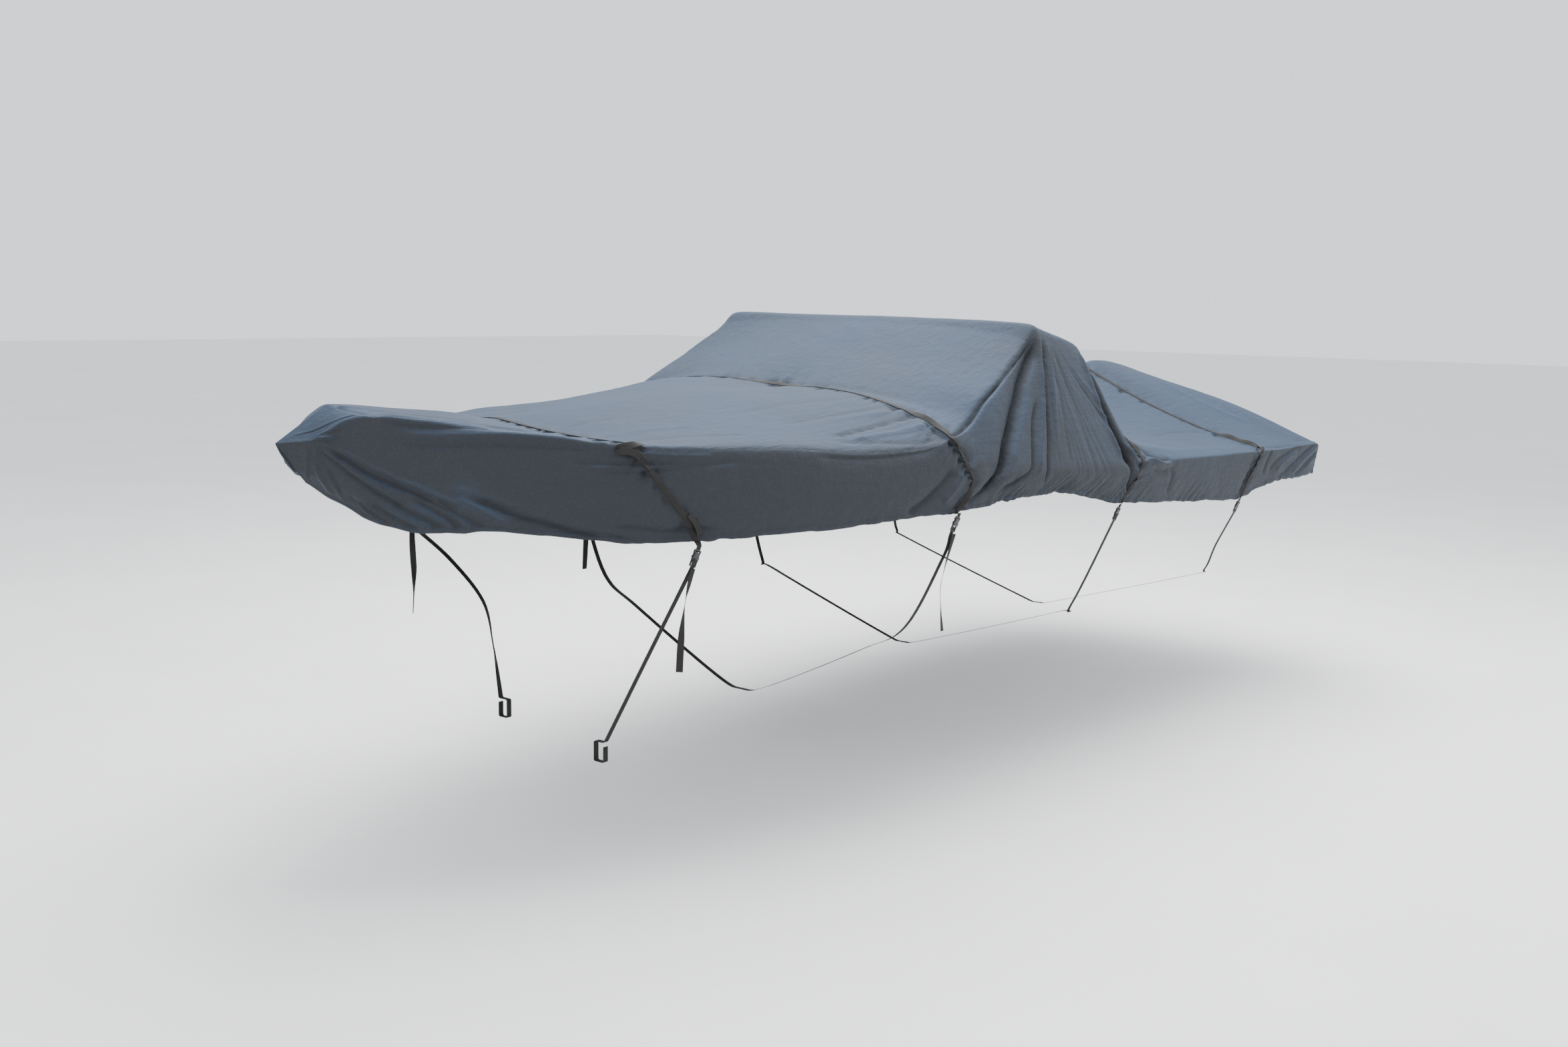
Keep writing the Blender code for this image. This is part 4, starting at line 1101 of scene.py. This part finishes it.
TAILS = (
    ((0.787, 1.116, 1.124, 0.0), (0.776, 1.107, 1.065, -12.0), (0.765, 1.101, 1.005, -40.0),
     (0.756, 1.098, 0.935, -10.0), (0.752, 1.093, 0.850, 38.0), (0.752, 1.087, 0.757, 46.0)),
    ((1.062, 2.324, 1.150, 0.0), (1.049, 2.313, 1.085, -8.0), (1.036, 2.304, 1.018, -25.0),
     (1.020, 2.300, 0.932, -36.0), (1.024, 2.300, 0.847, -28.0), (1.032, 2.302, 0.759, -8.0)),
)
SIDES = {"starboard": -1, "port": 1}
AFT = np.array([0.0, 1.0, 0.0])


def side_points(marks, side):
    return np.array([row_frame(side * out, station, up) for out, station, up in marks])


print(2 * len(TIES), "buckles,", 2 * len(TAILS), "free ends")

# %% Straps sewn over the cloth
STRAP_OFF_CLOTH = 0.0016  # from the cloth's face to the strap's middle
STRAP_TUCK = 0.010  # how far each end goes into its buckle


STRAP_ROLLS = {  # the girth, how much girth on each side, and how many degrees the webbing rolls there
    1: ((0.655, 0.018, -40.0), (0.80, 0.05, 10.0), (-0.70, 0.05, 30.0)),
    2: ((0.48, 0.035, 38.0), (0.61, 0.03, -25.0), (0.93, 0.04, 35.0), (-0.62, 0.04, -30.0)),
    3: ((0.70, 0.05, 25.0), (-0.66, 0.05, -30.0)),
    4: ((0.472, 0.024, 48.0), (0.530, 0.030, 50.0), (0.605, 0.025, -30.0), (0.74, 0.09, 40.0),
        (0.88, 0.05, -20.0), (-0.50, 0.04, -40.0)),
}


def strap_roll(number, girth):
    """The webbing's roll along a strap: bell curves where it doesn't lie flat."""
    rows = STRAP_ROLLS[number]
    return np.radians(sum(turn * np.exp(-(((girth - at) / wide) ** 2)) for at, wide, turn in rows))


# Doubled webbing on the first strap's port side, as rows of station, girth and height over the cloth:
# a folded tab at the shoulder, and the end turned back and sewn down above the hem.
SHOULDER_TAB = ((0.972, 0.548, 0.002), (0.935, 0.562, 0.005), (0.900, 0.574, 0.007), (0.880, 0.582, 0.010),
                (0.889, 0.590, 0.013), (0.912, 0.590, 0.011), (0.936, 0.597, 0.007), (0.952, 0.612, 0.004))
SEWN_END = ((1.112, 0.828, 0.0030), (1.130, 0.862, 0.0044), (1.148, 0.905, 0.0046), (1.162, 0.955, 0.0044))
TAB_STEPS = 6


def doubled_strip(marks, along_girth):
    """A strip over the port side of the taut cloth, its width lying down the side or across it."""
    route = smooth_route(marks, TAB_STEPS)
    station, girth, lift = route.T
    base = taut_cloth(station, girth)
    middle = base + lift[:, None] * outward(taut_cloth, station, girth)
    down = taut_cloth(station, girth + 0.004) - base
    across, normal = ribbon_frames(middle, np.broadcast_to(AFT, base.shape) if along_girth else down)
    return middle, across, normal


def strap_ribbon(number, strap, top, bottom):
    """A strap laid on the dressed cloth: its middle and its width are read from the surface itself."""
    girth = girth_columns()
    line = strap_line(strap, girth)
    along = unit(np.gradient(taut_cloth(line, girth), axis=0))
    half = WEB_WIDTH / 2 / np.sqrt(1 - along[:, 1] ** 2)
    station = line + np.stack([-half, 0 * half, half])
    points, normals, _ = dressed_cloth(station, np.broadcast_to(girth, station.shape))
    roll = strap_roll(number, girth)[:, None]
    middle = points[1] + (STRAP_OFF_CLOTH + np.abs(np.sin(roll)) * WEB_WIDTH * 0.45) * normals[1]
    flat = unit(points[2] - points[0])
    across = np.cos(roll) * flat + np.sin(roll) * normals[1]
    leads = []
    for side in (-1, 1):
        marks = side_points([top, bottom], side)
        down = unit(marks[1] - marks[0])
        leads.append(np.array([marks[0] - LEAD * down, marks[0] + STRAP_TUCK * down]))
    middle = np.vstack([leads[0][::-1], middle, leads[1]])
    across = np.vstack([[AFT, AFT], across, [AFT, AFT]])
    _, normal = ribbon_frames(middle, across)
    extra = [doubled_strip(SHOULDER_TAB, False), doubled_strip(SEWN_END, True)] if number == 1 else []
    return ribbon(f"strap_{number}_webbing", f"strap_{number}", (middle, across, normal), *extra)


for number, (strap, (top, bottom, _)) in enumerate(zip(STRAPS, TIES), start=1):
    strap_ribbon(number, strap, top, bottom)
print("sewn straps:", len(STRAPS))

# %% Tie-downs
TIE_STEPS = 8
TIE_TUCK = 0.020  # how far a tie-down goes back up into its plug


def rail_turn(before, end, side):
    """A turn round a box rail from its outer top edge: each bend is a parabola between its two straights."""
    width, height = RAIL_SIZE
    inward, down = np.array([-side, 0.0, 0.0]), np.array([0.0, 0.0, -1.0])
    below = end + height * down
    edges = [before, end, end + width * inward, below + width * inward, below, end + RAIL_END * down]
    t = np.linspace(0, 1, 7)[:, None]
    bends = []
    for a, b, c in zip(edges[:-2], edges[1:-1], edges[2:]):
        into, out_of = b - RAIL_BEND * unit(b - a), b + RAIL_BEND * unit(c - b)
        bends.append((1 - t) ** 2 * into + 2 * t * (1 - t) * b + t**2 * out_of)
    return np.vstack([*bends, edges[-1:]])


def turned_width(degrees, side):
    """The direction of a strap's width, turned from aft towards port and mirrored with its side."""
    angle = np.radians(degrees)
    return np.column_stack([side * np.sin(angle), np.cos(angle), 0 * angle])


def add_webbing(name, route, width_way):
    """A ribbon that stands for the CAD node of its name."""
    return ribbon(f"{name}_webbing", name, (route, *ribbon_frames(route, width_way)))


def add_rail_tie(name, start, marks, side):
    marks = np.array(marks)
    marks = np.column_stack([side_points(marks[:, :3], side), marks[:, 3]])
    turned = smooth_route(np.vstack([np.column_stack([start, [0, 0]]), marks]), TIE_STEPS)
    turn = rail_turn(turned[-2, :3], turned[-1, :3], side)
    route = np.vstack([turned[:-1, :3], turn])
    degrees = np.concatenate([turned[:-1, 3], np.zeros(len(turn))])
    return add_webbing(name, route, turned_width(degrees, side))


def add_tie(name, marks):
    route = smooth_route(marks, TIE_STEPS)
    return add_webbing(name, route, np.broadcast_to(AFT, route.shape))


def add_tail(name, marks, side):
    turned = smooth_route(marks, TIE_STEPS)
    route = side_points(turned[:, :3], side)
    return add_webbing(name, route, turned_width(turned[:, 3], side))


def tie_start(top, bottom, side):
    """A point between the plug's bars, and one straight on from it."""
    ends = side_points([top, bottom], side)
    down = unit(ends[1] - ends[0])
    start = ends[0] + (SOCKET_LENGTH + PLUG_LENGTH - TIE_TUCK) * down
    return np.array([start, start + (TIE_TUCK + LEAD) * down])


for number, (top, bottom, marks) in enumerate(TIES, start=1):
    starts = {label: tie_start(top, bottom, side) for label, side in SIDES.items()}
    if marks is None:
        for label, side in SIDES.items():
            add_rail_tie(f"tie_{number}_{label}", starts[label], RAIL_TIES[label], side)
    else:
        down = [np.vstack([starts[label], side_points(marks, side)]) for label, side in SIDES.items()]
        add_tie(f"tie_{number}", np.vstack([down[0], down[1][-2::-1]]))
for number, marks in enumerate(TAILS, start=1):
    for label, side in SIDES.items():
        add_tail(f"tail_{number}_{label}", marks, side)
print("tie-downs and free ends made")

# %% [markdown]
# ## Side-release buckles
#
# Each half is moulded from a few plain shapes: bars, rails and a body with a waist, where the plug's
# prongs show. So each is a list of prisms in millimetres, across the webbing and down it, with heights
# towards the outside. A bevel rounds the edges as a mould's tool does. The webbing passes between the
# bars, under one and over the next.

# %% The two mouldings
SOCKET_PARTS = (  # kind, outline on one side of the middle (across, down), its lowest and highest
    ("middle", ((15.4, 0.0), (17.0, 1.6), (17.0, 3.6), (15.8, 4.2)), 0.9, 3.6),
    ("pair", ((12.9, 1.2), (17.0, 1.8), (17.0, 10.0), (15.6, 11.5), (12.9, 11.5)), -2.6, 3.0),
    ("middle", ((15.6, 9.0), (16.2, 11.0), (12.7, 14.2), (12.2, 17.5), (12.7, 21.2), (16.0, 24.5),
                (16.9, 27.0), (16.9, 31.2), (16.0, 32.0)), -4.7, 4.7),
    ("middle", ((9.0, 10.6), (9.8, 12.0), (9.2, 22.0), (7.0, 24.5)), -4.8, 5.2),
    ("middle", ((16.6, 28.0), (17.2, 28.6), (17.2, 31.4), (16.6, 32.0)), -5.2, 5.2),
)
PLUG_PARTS = (
    ("pair", ((12.6, -21.0), (14.8, -20.2), (16.9, -16.5), (17.2, -12.8), (15.6, -9.8),
              (12.8, -9.0)), -2.5, 2.5),
    ("middle", ((13.4, 0.0), (16.0, 1.8), (16.0, 5.6), (14.8, 7.2)), -4.0, 4.0),
    ("pair", ((12.8, 6.2), (16.0, 6.2), (16.0, 28.4), (14.6, 30.0), (12.8, 30.0)), -2.9, 2.9),
    ("middle", ((12.9, 11.6), (12.9, 14.4)), 0.9, 3.1),
    ("middle", ((12.9, 18.4), (12.9, 21.4)), -3.1, -0.9),
    ("middle", ((13.2, 26.2), (13.2, 30.0)), 0.9, 4.0),
)
MILLIMETRE = 0.001
MOULD_EDGE = 0.0007


def prism_outlines(kind, outline):
    """One closed outline across the middle, or two that mirror each other."""
    mirrored = [(-x, y) for x, y in reversed(outline)]
    return [list(outline) + mirrored] if kind == "middle" else [list(outline), mirrored]


def add_moulding(name, parts, top, down, side):
    """Prisms placed below a point of the webbing: across is aft, and heights point away from the boat."""
    points, faces = [], []
    for kind, outline, low, high in parts:
        for ring in prism_outlines(kind, outline):
            first, count = len(points), len(ring)
            points += [(x, y, z) for z in (low, high) for x, y in ring]
            faces += [[first + k for k in range(count)][::-1], [first + count + k for k in range(count)]]
            for k in range(count):
                after = (k + 1) % count
                faces.append([first + k, first + after, first + count + after, first + count + k])
    down = unit(down)
    across = unit(AFT - (AFT @ down) * down)
    turn = np.stack([across, down, side * np.cross(down, across)])
    mesh = bpy.data.meshes.new(name)
    mesh.from_pydata((top + np.array(points) * MILLIMETRE @ turn).tolist(), [], faces)
    outwards(mesh)
    piece = add_piece(f"{name}_moulding", mesh, BUCKLE_FINISH, name, slot="buckle_plastic")
    bevel = piece.modifiers.new("mould_edges", "BEVEL")
    bevel.width = MOULD_EDGE
    bevel.segments = 2
    bevel.limit_method = "ANGLE"
    bevel.angle_limit = np.radians(30)
    return piece


for number, (top, bottom, _) in enumerate(TIES, start=1):
    for label, side in SIDES.items():
        ends = side_points([top, bottom], side)
        down = unit(ends[1] - ends[0])
        add_moulding(f"buckle_{number}_{label}_socket", SOCKET_PARTS, ends[0] + GAP * down, down, side)
        plug_top = ends[0] + (SOCKET_LENGTH + 2 * GAP) * down
        add_moulding(f"buckle_{number}_{label}_plug", PLUG_PARTS, plug_top, down, side)
print(4 * len(TIES), "mouldings")

# %% [markdown]
# ## Floor, light and camera
#
# A pale floor and an even, overcast sky, with one large panel of light overhead and two weaker ones to
# the side: what faces up is bright, and the walls are darker. The camera stands where a passer-by would,
# off the port bow.

# %% Floor and light
FLOOR_REACH = 60.0


def add_floor():
    corners = [(x * FLOOR_REACH, y * FLOOR_REACH, GROUND) for x, y in ((-1, -1), (1, -1), (1, 1), (-1, 1))]
    mesh = bpy.data.meshes.new("floor")
    mesh.from_pydata(corners, [], [(0, 1, 2, 3)])
    mesh.materials.append(floor_paint())
    add_object("floor", mesh)


def add_area_light(name, place, aim, size, power):
    light = bpy.data.lights.new(name, "AREA")
    light.shape = "RECTANGLE"
    light.size, light.size_y = size
    light.energy = power
    lamp = add_object(name, light)
    back = unit(np.array(place) - np.array(aim))
    right = unit(np.cross((0.0, 0.0, 1.0), back) + np.array((1e-6, 0.0, 0.0)))
    turn = np.column_stack([right, np.cross(back, right), back])
    lamp.matrix_world = Matrix.Translation(place) @ Matrix(turn.tolist()).to_4x4()


def add_world(strength):
    world = bpy.data.worlds.new("overcast")
    world.use_nodes = True
    background = world.node_tree.nodes["Background"]
    background.inputs["Color"].default_value = (0.93, 0.96, 1.0, 1)
    background.inputs["Strength"].default_value = strength
    bpy.context.scene.world = world


add_floor()
add_world(1.42)
add_area_light("sky_panel", (-0.5, 1.0, 4.5), (0.0, 0.5, -0.5), (5.0, 8.5), 1120.0)
add_area_light("bow_side_panel", (2.5, -9.0, 2.6), (0.0, -2.0, -0.4), (5.0, 3.0), 330.0)
add_area_light("side_panel", (6.5, 4.5, 2.2), (0.8, 0.5, -0.4), (4.0, 3.0), 200.0)

# %% Camera
CAMERA_AT = (4.452, -5.998, 0.064)
CAMERA_TURN, CAMERA_DOWN, CAMERA_ROLL = np.radians((39.7075, 8.054, 0.854))
CAMERA_LENS = 36.057


def add_camera():
    """A camera from its heading, pitch and roll: three unit vectors worked out one after the other."""
    level = np.array([-np.sin(CAMERA_TURN), np.cos(CAMERA_TURN), 0.0])
    beside = np.array([np.cos(CAMERA_TURN), np.sin(CAMERA_TURN), 0.0])
    forward = np.cos(CAMERA_DOWN) * level - np.sin(CAMERA_DOWN) * np.array([0, 0, 1.0])
    above = np.cross(beside, forward)
    right = np.cos(CAMERA_ROLL) * beside + np.sin(CAMERA_ROLL) * above
    up = np.cross(right, forward)
    data = bpy.data.cameras.new("camera")
    data.lens = CAMERA_LENS
    data.sensor_width = 36.0
    camera = add_object("camera", data)
    turn = np.column_stack([right, up, -forward])
    camera.matrix_world = Matrix.Translation(CAMERA_AT) @ Matrix(turn.tolist()).to_4x4()
    bpy.context.scene.camera = camera


add_camera()
print("camera lens:", CAMERA_LENS, "mm")
